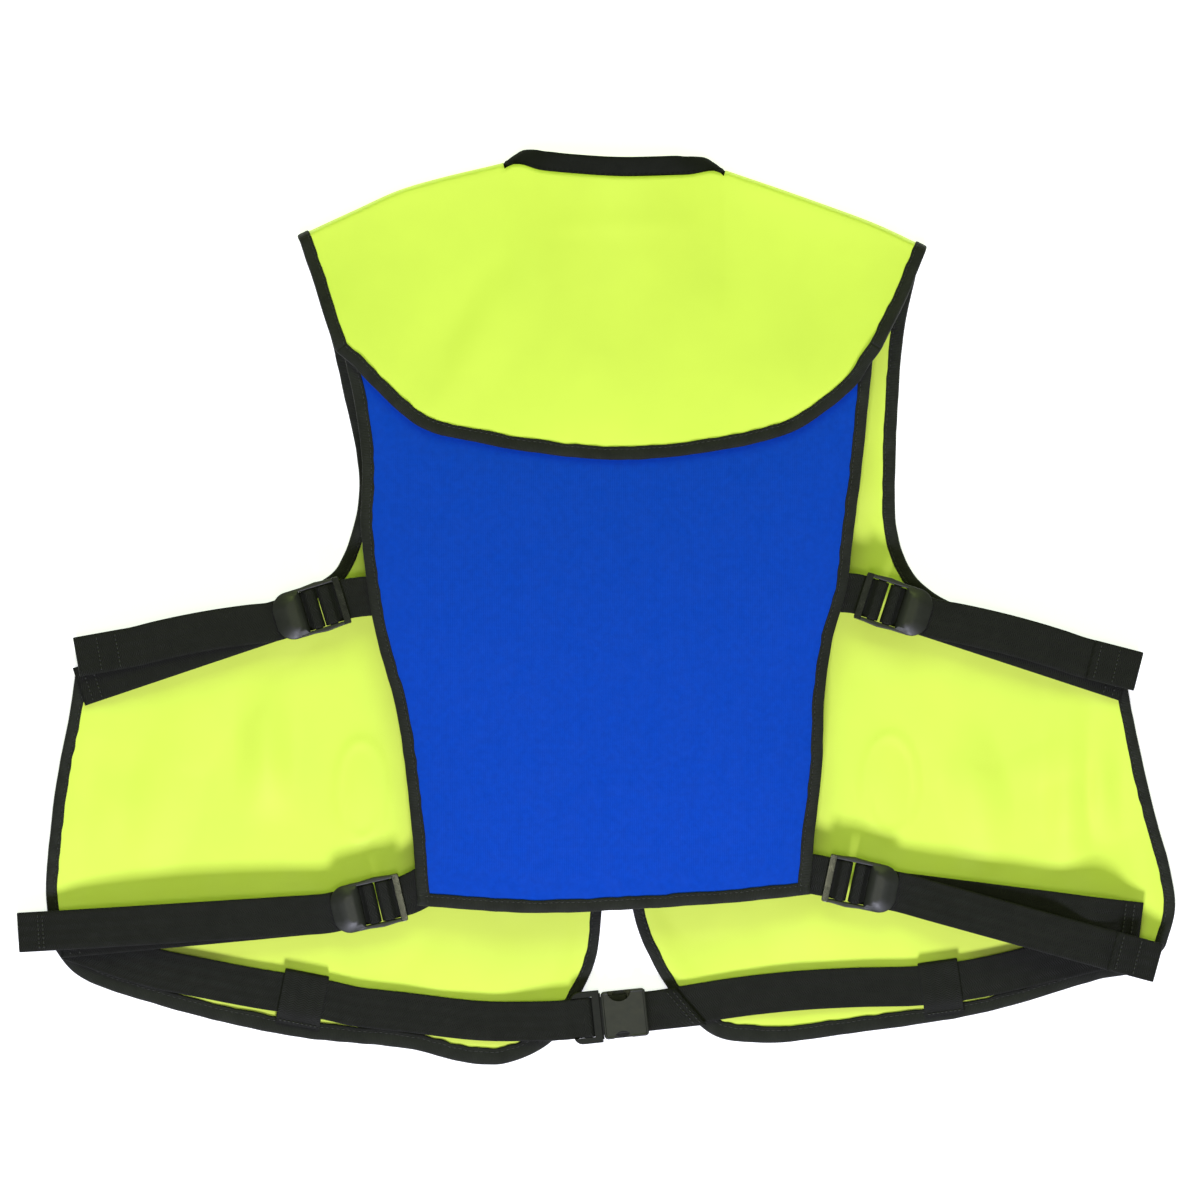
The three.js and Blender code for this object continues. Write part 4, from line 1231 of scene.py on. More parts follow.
@dataclass
class EdgeRun:
    """Tape folded over panel edges that follow each other, sewn through; each leg is a piece.

    Attributes:
        legs: Stretches of the edge in order.
        panel_thick: Thickness of the panel.
        seam_in: Distance of the stitches from the tape's own edge.
        stitch: Distance from one stitch to the next.
        thread: Half the thickness of the thread.
        step: Largest distance between stations.
    """

    legs: list[Leg]
    panel_thick: float
    seam_in: float = 1.7
    stitch: float = 3.4
    thread: float = 0.3
    step: float = 1.8

    def sweep(self) -> tuple[Sweep, list[int]]:
        """Stations along all legs.

        Returns:
            Evenly spaced stations, and the numbers of those at which the legs begin and end.
        """
        edge = np.vstack([leg.edge[min(k, 1) :] for k, leg in enumerate(self.legs)])
        inside = np.vstack([leg.inside[min(k, 1) :] for k, leg in enumerate(self.legs)])
        known = run_lengths(edge)
        lengths = np.linspace(0.0, known[-1], int(known[-1] / self.step) + 1)
        at = smoothed(along_run(edge, lengths), 1)
        at[0], at[-1] = edge[0], edge[-1]
        way = headings(at)
        out = square_to(at - between(lengths, known, inside), way)
        out = square_to(unit(smoothed(out, 3)), way)
        ends = np.cumsum([len(leg.edge) - 1 for leg in self.legs])
        bounds = [0, *(int(np.argmin(np.abs(lengths - known[end]))) for end in ends)]
        covers = [(leg.reach, leg.end_reach or leg.reach) for leg in self.legs]
        spans = [np.linspace(*cover, b - a) for cover, a, b in zip(covers, bounds, bounds[1:])]
        reach = np.concatenate((*spans, spans[-1][-1:]))
        reach = smoothed(reach[:, None], 5)[:, 0]
        wobble = soft_noise(lengths, 0 * lengths, 8.0, len(lengths))
        uneven = 1.0 + 0.05 * soft_noise(lengths, 0 * lengths, 6.0, len(lengths) + 1)
        spread = reach / self.legs[0].reach * uneven
        return Sweep(at + out * 0.18 * wobble[:, None], out, np.cross(way, out), spread), bounds

    def sections(self) -> tuple[np.ndarray, np.ndarray]:
        """Section of the folded tape.

        Returns:
            Its outer and inner face, as (out, up) rows.
        """
        slot = self.panel_thick / 2 + 0.06
        half = slot + TAPE_THICK
        reach = self.legs[0].reach
        seam = self.seam_in
        flats = np.array((0.0, 0.5, seam - 0.6, seam, seam + 0.6, 0.75 * reach)) - reach
        rise = np.array((half - 0.45, half, half, half - 0.22, half, half + 0.05))
        turns = np.radians(np.linspace(90, -90, 9))
        outer = [*zip(flats, rise), *((1.15 * math.cos(a), half * math.sin(a)) for a in turns)]
        inner = [*((f, slot) for f in flats), *((0.3 * math.cos(a), slot * math.sin(a)) for a in turns)]
        outer += [(f, -h) for f, h in zip(flats[::-1], rise[::-1])]
        inner += [(f, -slot) for f in flats[::-1]]
        return np.array(outer), np.array(inner)

    def build(self, wardrobe: Wardrobe) -> None:
        """Make the tape of each leg with a row of stitches on both faces.

        Args:
            wardrobe: Materials of the vest.
        """
        sweep, bounds = self.sweep()
        outer, inner = self.sections()
        for leg, first, last in zip(self.legs, bounds, bounds[1:]):
            part = sweep.part(first, last)
            drafts = [part.draft(outer, inner)]
            seam = part.at + part.out * (outer[3, 0] * part.spread)[:, None]
            for face in (1.0, -1.0):
                lift = part.up * face
                line = seam + lift * (outer[3, 1] + 0.05)
                drafts.append(stitch_draft(line, lift, self.stitch, self.thread))
            make_piece(leg.name, drafts, [wardrobe.tape, wardrobe.thread])


@dataclass
class Collar:
    """Neoprene band round the neck: up one front neck edge, along the back neck and down the other."""

    height: float = 13.6
    base: float = -1.0
    tuck: float = 0.1
    aside: float = 0.4
    sink: float = 0.8
    corner_reach: float = 7.0
    corner_foot: float = 3.5
    lean: Span = (0.86, 0.5)
    rear: Spot = (0.0, 0.95, 0.31)
    step: float = 2.5

    def stations(
        self, yoke: Yoke, back: np.ndarray, fronts: dict[Side, np.ndarray], neck_cells: int
    ) -> Sweep:
        """Run of the band's foot with its outward direction.

        Args:
            yoke: The yoke's cell counts.
            back: Mid-surface of the yoke.
            fronts: Mid-surfaces of the front panels.
            neck_cells: Cells of a front neck edge that carry the band.

        Returns:
            Stations along the band.
        """
        first, last = yoke.shoulder_cells, yoke.shoulder_cells + yoke.neck_cells
        crest = yoke.rows
        fold = slice(crest + 8, crest + yoke.fold_steps + 1)
        left = np.array((*self.lean, 0.0))
        lean = {Side.LEFT: left, Side.RIGHT: left * (-1, 1, 1)}
        climbs = {}
        for side, column in ((Side.LEFT, first), (Side.RIGHT, last)):
            climbs[side] = np.vstack((fronts[side][: neck_cells + 1, -1][::-1], back[fold, column][::-1]))
        neck = back[crest, first + 3 : last - 2]
        at = np.vstack((climbs[Side.LEFT], neck, climbs[Side.RIGHT][::-1]))
        share = np.minimum(np.arange(len(neck)), np.arange(len(neck))[::-1]) / 9.0
        blend = ease(share)[:, None]
        half = len(neck) // 2
        counts = {Side.LEFT: half, Side.RIGHT: len(neck) - half}
        ends = np.vstack([np.tile(lean[side], (counts[side], 1)) for side in Side])
        out = np.vstack((
            np.tile(lean[Side.LEFT], (len(climbs[Side.LEFT]), 1)),
            ends * (1 - blend) + np.array(self.rear) * blend,
            np.tile(lean[Side.RIGHT], (len(climbs[Side.RIGHT]), 1)),
        ))
        known = run_lengths(at)
        lengths = np.linspace(0.0, known[-1], int(known[-1] / self.step))
        even = smoothed(along_run(at, lengths), 2)
        facing = smoothed(between(lengths, known, out), 3)
        way = headings(even)
        facing = unit(facing - 0.5 * way * np.sum(facing * way, axis=1, keepdims=True))
        side = unit(np.cross(way, facing))
        climb = ease((0.9 - facing[:, 1:2]) / 0.4)
        at = even + (facing * self.tuck + side * self.aside - UP * self.sink) * climb
        at[:, 2] = np.maximum(at[:, 2], EDGE_LEVEL)
        corners = known[[len(climbs[Side.LEFT]), -len(climbs[Side.RIGHT]) - 1]]
        near = np.exp(-(((lengths[:, None] - corners) / self.corner_reach) ** 2)).max(axis=1)
        return Sweep(at, facing, side, 1.0 + self.corner_foot * near)

    def build(self, wardrobe: Wardrobe, sweep: Sweep) -> bpy.types.Object:
        """Make the band with rounded edges.

        Args:
            wardrobe: Materials of the vest.
            sweep: Stations along the band.

        Returns:
            The finished piece.
        """
        half = NEOPRENE_THICK / 2
        rounding = self.height - np.array((0.6, 0.1))
        spots = np.concatenate(([0.0, 0.5], np.linspace(1.6, self.height - 1.8, 7), rounding))
        girth = half * np.array((0.2, 0.3, 0.5, 0.7, 0.85, 0.95, *[1.0] * 3, 0.8, 0.3))
        face = np.stack((spots + self.base, girth), axis=1)
        lengths = run_lengths(sweep.at)
        ripple = 0.5 * soft_noise(lengths, 0 * lengths, 34.0, 71)
        band = Sweep(sweep.at + sweep.up * ripple[:, None], sweep.out, sweep.up, sweep.spread)
        draft = band.draft(face, face * (1, -1))
        seam = band.at + band.out * spots[2] + band.up * (0.55 * half + 0.04)
        stitches = stitch_draft(seam, band.up, 3.4, 0.3, 0)
        piece = make_piece("collar", [draft, stitches], [wardrobe.black])
        return piece


# Webbing


def ribbon(
    path: np.ndarray, across: np.ndarray, width: float = WEBBING_WIDTH, step: float = 3.0, slant: float = 0.0
) -> tuple[Draft, Sweep]:
    """Webbing along a run of points.

    Args:
        path: Points that the middle of the webbing passes.
        across: Direction of its width at each point.
        width: Width of the webbing.
        step: Largest distance between stations.
        slant: Slope of the cut at the last end.

    Returns:
        Closed mesh of the webbing, and its stations.
    """
    at, places = curve_through(path, step)
    way = headings(at)
    out = square_to(between(places, np.arange(len(path)), across), way)
    lengths = run_lengths(at)
    sweep = Sweep(at, out, np.cross(way, out), skew=slant * ease((lengths - lengths[-1] + 14.0) / 14.0))
    spots = width * np.array((-0.5, -0.493, -0.475, -0.43, -0.22, 0.0, 0.22, 0.43, 0.475, 0.493, 0.5))
    girth = WEBBING_THICK / 2 * np.array((0.3, 0.72, 0.96, 1.0, 1.0, 1.0, 1.0, 1.0, 0.96, 0.72, 0.3))
    face = np.stack((spots, girth), axis=1)
    return sweep.draft(face, face * (1, -1)), sweep


def cross_stitches(
    sweep: Sweep, place: float, face: float, reach: float = 11.0, slant: float = 0.0
) -> Draft:
    """Row of stitches across a webbing.

    Args:
        sweep: Stations of the webbing.
        place: Length from the start of the webbing to the row.
        face: 1 for the upper face in the webbing's own frame and -1 for the lower.
        reach: Half the length of the row.
        slant: Shift along the webbing for each millimetre sideways.

    Returns:
        The stitches.
    """
    lengths = run_lengths(sweep.at)
    at, out, up = (between(place, lengths, values) for values in (sweep.at, sweep.out, sweep.up))
    spots = np.linspace(-reach, reach, 12)[:, None]
    lift = up * face
    line = at + (out + np.cross(out, up) * slant) * spots + lift * (WEBBING_THICK / 2 + 0.05)
    return stitch_draft(line, np.tile(lift, (12, 1)), 2.7, 0.4)


def turn_round(centre: Span, radius: float, start: float, end: float, steps: int) -> list[Span]:
    """Turn of webbing round a bar, from angle to angle in degrees, as (along, height) places."""
    angles = np.radians(np.linspace(start, end, steps + 1))
    return [(centre[0] + radius * math.cos(a), centre[1] + radius * math.sin(a)) for a in angles]


def bowed_run(
    start: np.ndarray, end: np.ndarray, arch: float, steps: int, bow: float = 0.0, slack: float = 0.0
) -> np.ndarray:
    """Run of points after a start, in a soft arch.

    Args:
        start: Place before the run.
        end: Last place.
        arch: Rise on the way.
        steps: Count of points.
        bow: Bend aside on the way.
        slack: Further rise shortly before the end.

    Returns:
        The points.
    """
    aside = unit(np.cross(end - start, UP))
    share = (np.arange(steps) + 1.0)[:, None] / steps
    hump = np.exp(-(((share - 0.8) / 0.13) ** 2)) * np.minimum(1.0, (1.0 - share) / 0.1)
    rise = arch * crown(share) + slack * hump
    return start + (end - start) * share + UP * rise + aside * bow * crown(share)


@dataclass(frozen=True)
class LockSize:
    """Sizes of a ladder-lock, from the strap bar outward and up from the middle of that bar."""

    bar_half: float = 2.5
    bar_radius: float = 1.5
    tab_bar: float = -9.9
    end_bar: float = -18.5
    end_half: float = 2.2
    end_low: float = 0.9
    end_high: float = 4.0
    rail_in: float = 12.9
    rail_out: float = 15.2
    rail_low: float = -1.6
    rail_high: float = 3.2
    rail_from: float = -20.5
    rail_to: float = 12.0
    lever_from: float = 6.0
    lever_to: float = 25.0
    lever_low: float = 0.7
    lever_thick: float = 1.3
    lever_tilt: float = 3.0
    exit: float = 28.0


LOCK = LockSize()
WRAP = LOCK.bar_radius + 0.3 + WEBBING_THICK / 2
BAR_FLAT = LOCK.bar_half - LOCK.bar_radius


@dataclass(frozen=True)
class SideStrap:
    """Side strap: short tab, ladder-lock and adjustable webbing with a free tail.

    Attributes:
        key: Upper or lower.
        side: Side of the vest.
        bar: Middle of the bar that the strap turns over.
        slope: Fall of the buckle outward in degrees.
        roll: Lean of the buckle toward the hem in degrees.
        tab: Place where the tab is sewn under the back panel.
        load: Sewn end on the front panel.
        tail: Free end; its height is that of the start of the hem.
        tip: Height of the free end.
        arch: How far the strap rises on its way.
        bow: How far the tail bends aside.
        hem: 1 where the end is folded over the tail and -1 where it is folded under.
        slack: How far the strap swells up before its sewn end.
        seams: Distances of the hem's rows of stitches from the free end.
        loose: How far the tab's turn stands off its bar.
    """

    key: str
    side: Side
    bar: Spot
    slope: float
    roll: float
    tab: Spot
    load: Spot
    tail: Spot
    tip: float
    arch: float
    bow: float
    hem: int
    slack: float = 0.0
    seams: tuple[float, ...] = (14.5, 26.5)
    loose: float = 0.0

    def frame(self) -> tuple[np.ndarray, np.ndarray, np.ndarray]:
        """Directions of the buckle.

        Returns:
            Directions along it outward, across it and up from it.
        """
        angle, roll = math.radians(self.slope), math.radians(self.roll)
        reach = -math.cos(angle) if self.side is Side.LEFT else math.cos(angle)
        along = np.array((reach, -math.sin(angle), 0.0))
        level = np.cross(UP, along)
        up = UP * math.cos(roll) - level * np.sign(level[1]) * math.sin(roll)
        return along, np.cross(up, along), up

    def place(self, spots: list[Span]) -> np.ndarray:
        """Points at (along, height) places of the buckle."""
        along, _, up = self.frame()
        return np.array([np.array(self.bar) + along * a + up * h for a, h in spots])

    def matrix(self) -> Matrix:
        """Placing of a buckle that is modelled in its own frame in metres."""
        origin = Vector((np.array(self.bar) + PLAN_SHIFT) * MM)
        return Matrix.Translation(origin) @ Matrix(self.frame()).transposed().to_4x4()

    def strap_run(self) -> tuple[np.ndarray, np.ndarray]:
        """Run of the strap from its sewn end, over the bar and on to the folded tail.

        Returns:
            Middle of the strap, and the direction of its width.
        """
        across = self.frame()[1]
        load_end, tip = np.array(self.load), np.array((*self.tail[:2], self.tip))
        low = -WRAP + LAYER_RISE
        load_exit = self.place([(LOCK.exit, -WRAP)])
        sewn = bowed_run(load_exit[0], load_end, self.arch, 14, slack=self.slack)
        load = np.vstack((load_exit, sewn))[::-1]
        spots = [(15.0, -WRAP), (6.0, -WRAP), *turn_round((-BAR_FLAT, 0.0), WRAP, 270, 90, 8)]
        spots += [*turn_round((BAR_FLAT, 0.0), WRAP, 90, 30, 3), (4.5, low + 0.6), (6.0, low), (15.0, low)]
        turn = self.place([*spots, (LOCK.exit, low)])
        back = turn[-1] - tip
        start = tip + unit(back * (1, 1, 0)) * (TAIL_HEM + 6.0)
        start[2] = self.tail[2]
        tail = np.vstack((bowed_run(turn[-1], start, self.arch, 7, self.bow), tip))
        way = unit(tip - start)
        tail_across = unit(np.cross(UP, way))
        over = np.cross(way, tail_across) * self.hem
        folded = turn_round((0.0, HEM_RISE / 2), HEM_RISE / 2, -45, 90, 4)
        folded += [(-TAIL_HEM / 2, HEM_RISE), (-TAIL_HEM, HEM_RISE)]
        fold = np.array([tip + way * a + over * h for a, h in folded])
        load_across = unit(np.cross(UP, (load_end - load_exit[0]) * (1, 1, 0)))
        widths = [(load_across, len(load)), (across, len(turn)), (tail_across, len(tail) + len(fold))]
        wide = np.vstack([np.tile(facing, (count, 1)) for facing, count in widths])
        return np.vstack((load, turn, tail, fold)), wide

    def tab_run(self) -> tuple[np.ndarray, np.ndarray]:
        """Run of the tab from under the back panel, round the tab bar and back.

        Returns:
            Middle of the tab, and the direction of its width.
        """
        across = self.frame()[1]
        root = np.array(self.tab)
        upper = LOCK.end_low - 0.3 - WEBBING_THICK / 2
        clear = LOCK.end_bar - LOCK.end_half - 2.0
        spots = [(clear, -WRAP), *turn_round((LOCK.tab_bar + BAR_FLAT + self.loose, 0.0), WRAP, 270, 450, 8)]
        spots += turn_round((LOCK.tab_bar - BAR_FLAT, 0.0), WRAP, 90, 140, 3)
        path = self.place([*spots, (LOCK.end_bar + LOCK.end_half + 0.6, upper), (clear, upper)])
        root_across = unit(np.cross(UP, (path[0] - root) * (1, 1, 0)))
        points = np.vstack((root - UP * HEM_RISE, path, root))
        return points, np.vstack((root_across, np.tile(across, (len(path), 1)), root_across))

    def build(self, wardrobe: Wardrobe, lock: bpy.types.Mesh) -> None:
        """Make the strap, its tab and its buckle.

        Args:
            wardrobe: Materials of the vest.
            lock: Ladder-lock modelled in its own frame.
        """
        materials = [wardrobe.webbing, wardrobe.thread]
        draft, sweep = ribbon(*self.strap_run())
        tip = run_lengths(sweep.at)[-1] - TAIL_HEM - 1.2
        places = (6.0, 12.0, *(tip + self.hem * back for back in self.seams))
        rows = [cross_stitches(sweep, place, self.top_at(sweep, place)) for place in places]
        name = f"{self.key}_strap_{self.side.value}"
        make_piece(name, [draft, *rows], materials)
        draft, _ = ribbon(*self.tab_run())
        make_piece(f"{self.key}_tab_{self.side.value}", [draft], materials)
        name = f"{self.key}_ladder_lock_{self.side.value}"
        mesh = lock.copy()
        mesh.name = name
        mesh.transform(self.matrix())
        dress(name, mesh)

    @staticmethod
    def top_at(sweep: Sweep, place: float) -> float:
        """Which face of the webbing looks up at a length along it."""
        return float(np.sign(np.interp(place, run_lengths(sweep.at), sweep.up[:, 2])))


SIDE_STRAPS = (
    SideStrap(
        key="upper", side=Side.LEFT, bar=(-177, -1, 20.5), slope=17, roll=-2, tab=(-127, 8.5, 24.4),
        load=(-325, -50, 7.4), tail=(-325, -31, 15.8), tip=13.4, arch=2.0, bow=1.8, hem=-1, loose=0.9,
    ),
    SideStrap(
        key="upper", side=Side.RIGHT, bar=(186, 1.5, 20.5), slope=18, roll=-2, tab=(144, 10, 24.4),
        load=(334, -47, 7.4), tail=(340, -40, 14), tip=12.4, arch=2.0, bow=-2.0, hem=1,
    ),
    SideStrap(
        key="lower", side=Side.LEFT, bar=(-141, -186, 17), slope=13, roll=5, tab=(-100, -171, 21),
        load=(-337, -208, 9.6), tail=(-362, -204.5, 15.6), tip=9.0, arch=4.0, bow=0.0, hem=-1,
        seams=(13.5, 16.5), loose=0.9,
    ),
    SideStrap(
        key="lower", side=Side.RIGHT, bar=(165, -173.5, 17), slope=12, roll=5, tab=(123, -165, 21),
        load=(343, -198, 9.6), tail=(352, -223, 24), tip=14.5, arch=4.0, bow=0.0, hem=1, slack=9.0,
    ),
)


# Moulded pieces


Test = Callable[[Vector, Vector], bool]


class Bench:
    """Modelling steps on one object at a time, as by hand. Sizes are millimetres."""

    @staticmethod
    def only(obj: bpy.types.Object) -> None:
        """Select one object and nothing else.

        Args:
            obj: The object.
        """
        bpy.ops.object.select_all(action="DESELECT")
        obj.select_set(True)
        bpy.context.view_layer.objects.active = obj

    @classmethod
    def block(cls, low: Spot, high: Spot) -> bpy.types.Object:
        """Block between two corners.

        Args:
            low: Corner with the lowest values.
            high: Corner with the highest values.

        Returns:
            The block.
        """
        bpy.ops.object.select_all(action="DESELECT")
        middle = [(a + b) / 2 * MM for a, b in zip(low, high)]
        bpy.ops.mesh.primitive_cube_add(size=1.0, location=middle)
        made = bpy.context.object
        made.scale = [(b - a) * MM for a, b in zip(low, high)]
        bpy.ops.object.transform_apply(location=True, rotation=True, scale=True)
        return made

    @classmethod
    def post(cls, middle: Spot, half: Spot) -> bpy.types.Object:
        """Upright oval post.

        Args:
            middle: Middle of the post.
            half: Half its length, width and height.

        Returns:
            The post.
        """
        bpy.ops.object.select_all(action="DESELECT")
        place = [m * MM for m in middle]
        bpy.ops.mesh.primitive_cylinder_add(vertices=40, radius=1.0, depth=2.0, location=place)
        made = bpy.context.object
        made.scale = [h * MM for h in half]
        bpy.ops.object.transform_apply(location=True, rotation=True, scale=True)
        return made

    @classmethod
    def pick(cls, obj: bpy.types.Object, kind: str, test: Test) -> None:
        """Enter edit mode with some faces or edges selected.

        Args:
            obj: Object to edit.
            kind: FACE or EDGE.
            test: Says whether an item is meant, by its middle and its normal or heading.
        """
        cls.only(obj)
        bpy.context.tool_settings.mesh_select_mode = (False, kind == "EDGE", kind == "FACE")
        mesh = obj.data
        for items in (mesh.vertices, mesh.edges, mesh.polygons):
            items.foreach_set("select", np.zeros(len(items), bool))
        if kind == "FACE":
            for face in mesh.polygons:
                face.select = bool(test(face.center / MM, face.normal))
        else:
            for edge in mesh.edges:
                a, b = (mesh.vertices[v].co for v in edge.vertices)
                edge.select = bool(test((a + b) / 2 / MM, (b - a).normalized()))
        bpy.ops.object.mode_set(mode="EDIT")

    @staticmethod
    def leave() -> None:
        """Back to object mode."""
        bpy.ops.object.mode_set(mode="OBJECT")

    @classmethod
    def round_edges(cls, obj: bpy.types.Object, test: Test, radius: float, segments: int) -> None:
        """Bevel picked edges in edit mode.

        Args:
            obj: Object to edit.
            test: Says which edges are meant.
            radius: Width of the bevel.
            segments: Steps of the bevel.
        """
        cls.pick(obj, "EDGE", test)
        bpy.ops.mesh.bevel(offset=radius * MM, segments=segments, affect="EDGES", clamp_overlap=True)
        cls.leave()

    @classmethod
    def dome(cls, obj: bpy.types.Object, steps: tuple[Span, ...], back: float = 0.0) -> None:
        """Inset the top face again and again, each time moving it up or down.

        Args:
            obj: Object to edit.
            steps: Inset and rise of each step.
            back: Move against the length at each step.
        """
        cls.pick(obj, "FACE", lambda at, normal: normal.z > 0.9)
        for inset, rise in steps:
            bpy.ops.mesh.inset(thickness=inset * MM, depth=0.0)
            bpy.ops.transform.translate(value=(-back * MM, 0.0, rise * MM))
        cls.leave()

    @classmethod
    def cut(cls, obj: bpy.types.Object, place: float) -> None:
        """Cut a ring of edges through an object across its length.

        Args:
            obj: Object to edit.
            place: Place of the ring along the length.
        """
        cls.pick(obj, "FACE", lambda at, normal: True)
        bpy.ops.mesh.bisect(plane_co=(place * MM, 0.0, 0.0), plane_no=(1.0, 0.0, 0.0))
        cls.leave()

    @classmethod
    def soften(cls, obj: bpy.types.Object, radius: float, segments: int = 3) -> None:
        """Round all sharp edges with a bevel that is applied.

        Args:
            obj: Object to edit.
            radius: Width of the bevel.
            segments: Steps of the bevel.
        """
        cls.only(obj)
        bevel = obj.modifiers.new("edges", "BEVEL")
        bevel.width, bevel.segments = radius * MM, segments
        bevel.limit_method, bevel.angle_limit = "ANGLE", math.radians(40)
        bpy.ops.object.modifier_apply(modifier=bevel.name)

    @classmethod
    def twin(cls, obj: bpy.types.Object) -> None:
        """Add the same shape on the other side of the long axis.

        Args:
            obj: Object to edit.
        """
        cls.only(obj)
        mirror = obj.modifiers.new("twin", "MIRROR")
        mirror.use_axis = (False, True, False)
        bpy.ops.object.modifier_apply(modifier=mirror.name)

    @classmethod
    def combine(cls, obj: bpy.types.Object, other: bpy.types.Object, operation: str = "UNION") -> None:
        """Join another solid to one, or cut it away.

        Args:
            obj: Solid that stays.
            other: Solid that is used up.
            operation: UNION or DIFFERENCE.
        """
        cls.only(obj)
        tool = obj.modifiers.new("join", "BOOLEAN")
        tool.object, tool.operation, tool.solver = other, operation, "EXACT"
        bpy.ops.object.modifier_apply(modifier=tool.name)
        bpy.data.objects.remove(other, do_unlink=True)

    @classmethod
    def take(cls, obj: bpy.types.Object, name: str) -> bpy.types.Mesh:
        """Take a finished mesh with smooth faces and crisp edges off the bench.

        Args:
            obj: Finished object, which is removed.
            name: Name of the mesh.

        Returns:
            The mesh.
        """
        cls.only(obj)
        bpy.ops.object.shade_smooth_by_angle(angle=math.radians(32))
        even = obj.modifiers.new("shading", "WEIGHTED_NORMAL")
        even.keep_sharp = True
        bpy.ops.object.modifier_apply(modifier=even.name)
        mesh = obj.data
        mesh.name = name
        bpy.data.objects.remove(obj, do_unlink=True)
        return mesh


@dataclass
class LadderLock:
    """Ladder-lock: two rails, strap bar, tab bar, end bar and a domed lever plate."""

    size: LockSize = LOCK

    def build(self, wardrobe: Wardrobe) -> bpy.types.Mesh:
        """Model the buckle in its own frame, length along X.

        Args:
            wardrobe: Materials of the vest.

        Returns:
            The finished mesh.
        """
        body, end = self.rails(), self.end_bar()
        for part in (body, end):
            part.data.materials.append(wardrobe.plastic)
            part.data.materials.append(wardrobe.gloss)
        end.data.polygons.foreach_set("material_index", np.ones(len(end.data.polygons), np.int32))
        reach = (self.size.rail_in + self.size.rail_out) / 2
        for middle in (0.0, self.size.tab_bar):
            bar = Bench.block(
                (middle - self.size.bar_half, -reach, -self.size.bar_radius),
                (middle + self.size.bar_half, reach, self.size.bar_radius),
            )
            Bench.round_edges(bar, lambda at, way: abs(way.y) > 0.9, 1.3, 5)
            Bench.combine(body, bar)
        Bench.combine(body, end)
        Bench.combine(body, self.lever())
        return Bench.take(body, "ladder_lock")

    def rails(self) -> bpy.types.Object:
        """Two side rails that swell at the middle and thin out toward the end bar.

        Returns:
            The shape.
        """
        size = self.size
        rail = Bench.block(
            (size.rail_from, size.rail_in, size.rail_low), (size.rail_to, size.rail_out, size.rail_high)
        )
        for place in (-14.0, -5.0, 4.0):
            Bench.cut(rail, place)
        Bench.pick(rail, "EDGE", lambda at, way: abs(at.x + 5.0) < 0.1 and at.y > size.rail_out - 0.1)
        bpy.ops.transform.translate(value=(0.0, 0.8 * MM, 0.0))
        Bench.leave()
        Bench.pick(rail, "FACE", lambda at, normal: normal.x < -0.9)
        pivot = (size.rail_from * MM, 0.0, size.rail_high * MM * 0.8)
        bpy.ops.transform.resize(value=(1.0, 1.0, 0.6), center_override=pivot)
        Bench.leave()
        Bench.soften(rail, 0.7)
        Bench.twin(rail)
        return rail

    def end_bar(self) -> bpy.types.Object:
        """Flat end bar.

        Returns:
            The shape.
        """
        size = self.size
        bar = Bench.block(
            (size.end_bar - size.end_half, -size.rail_out, size.end_low),
            (size.end_bar + size.end_half, size.rail_out, size.end_high),
        )
        Bench.round_edges(bar, lambda at, way: abs(way.z) > 0.9 and at.x < size.end_bar, 1.6, 4)
        Bench.soften(bar, 0.4, 2)
        return bar

    def lever(self) -> bpy.types.Object:
        """Domed lever plate with a rounded outer end, tilted up outward.

        Returns:
            The shape.
        """
        size = self.size
        half = size.rail_out
        plate = Bench.block((size.lever_from, -half, 0.0), (size.lever_to, half, size.lever_thick))
        Bench.round_edges(plate, lambda at, way: abs(way.z) > 0.9 and at.x > size.lever_to - 0.1, 10.5, 12)
        Bench.dome(plate, ((0.5, 0.5), (1.2, 0.8), (1.7, 0.9), (2.0, 0.8), (2.0, 0.45)), 0.55)
        Bench.soften(plate, 0.3)
        tilt = Matrix.Rotation(-math.radians(size.lever_tilt), 4, "Y")
        lift = Matrix.Translation(Vector((size.lever_from, 0.0, size.lever_low)) * MM)
        back = Matrix.Translation(Vector((-size.lever_from, 0.0, 0.0)) * MM)
        plate.data.transform(lift @ tilt @ back)
        return plate


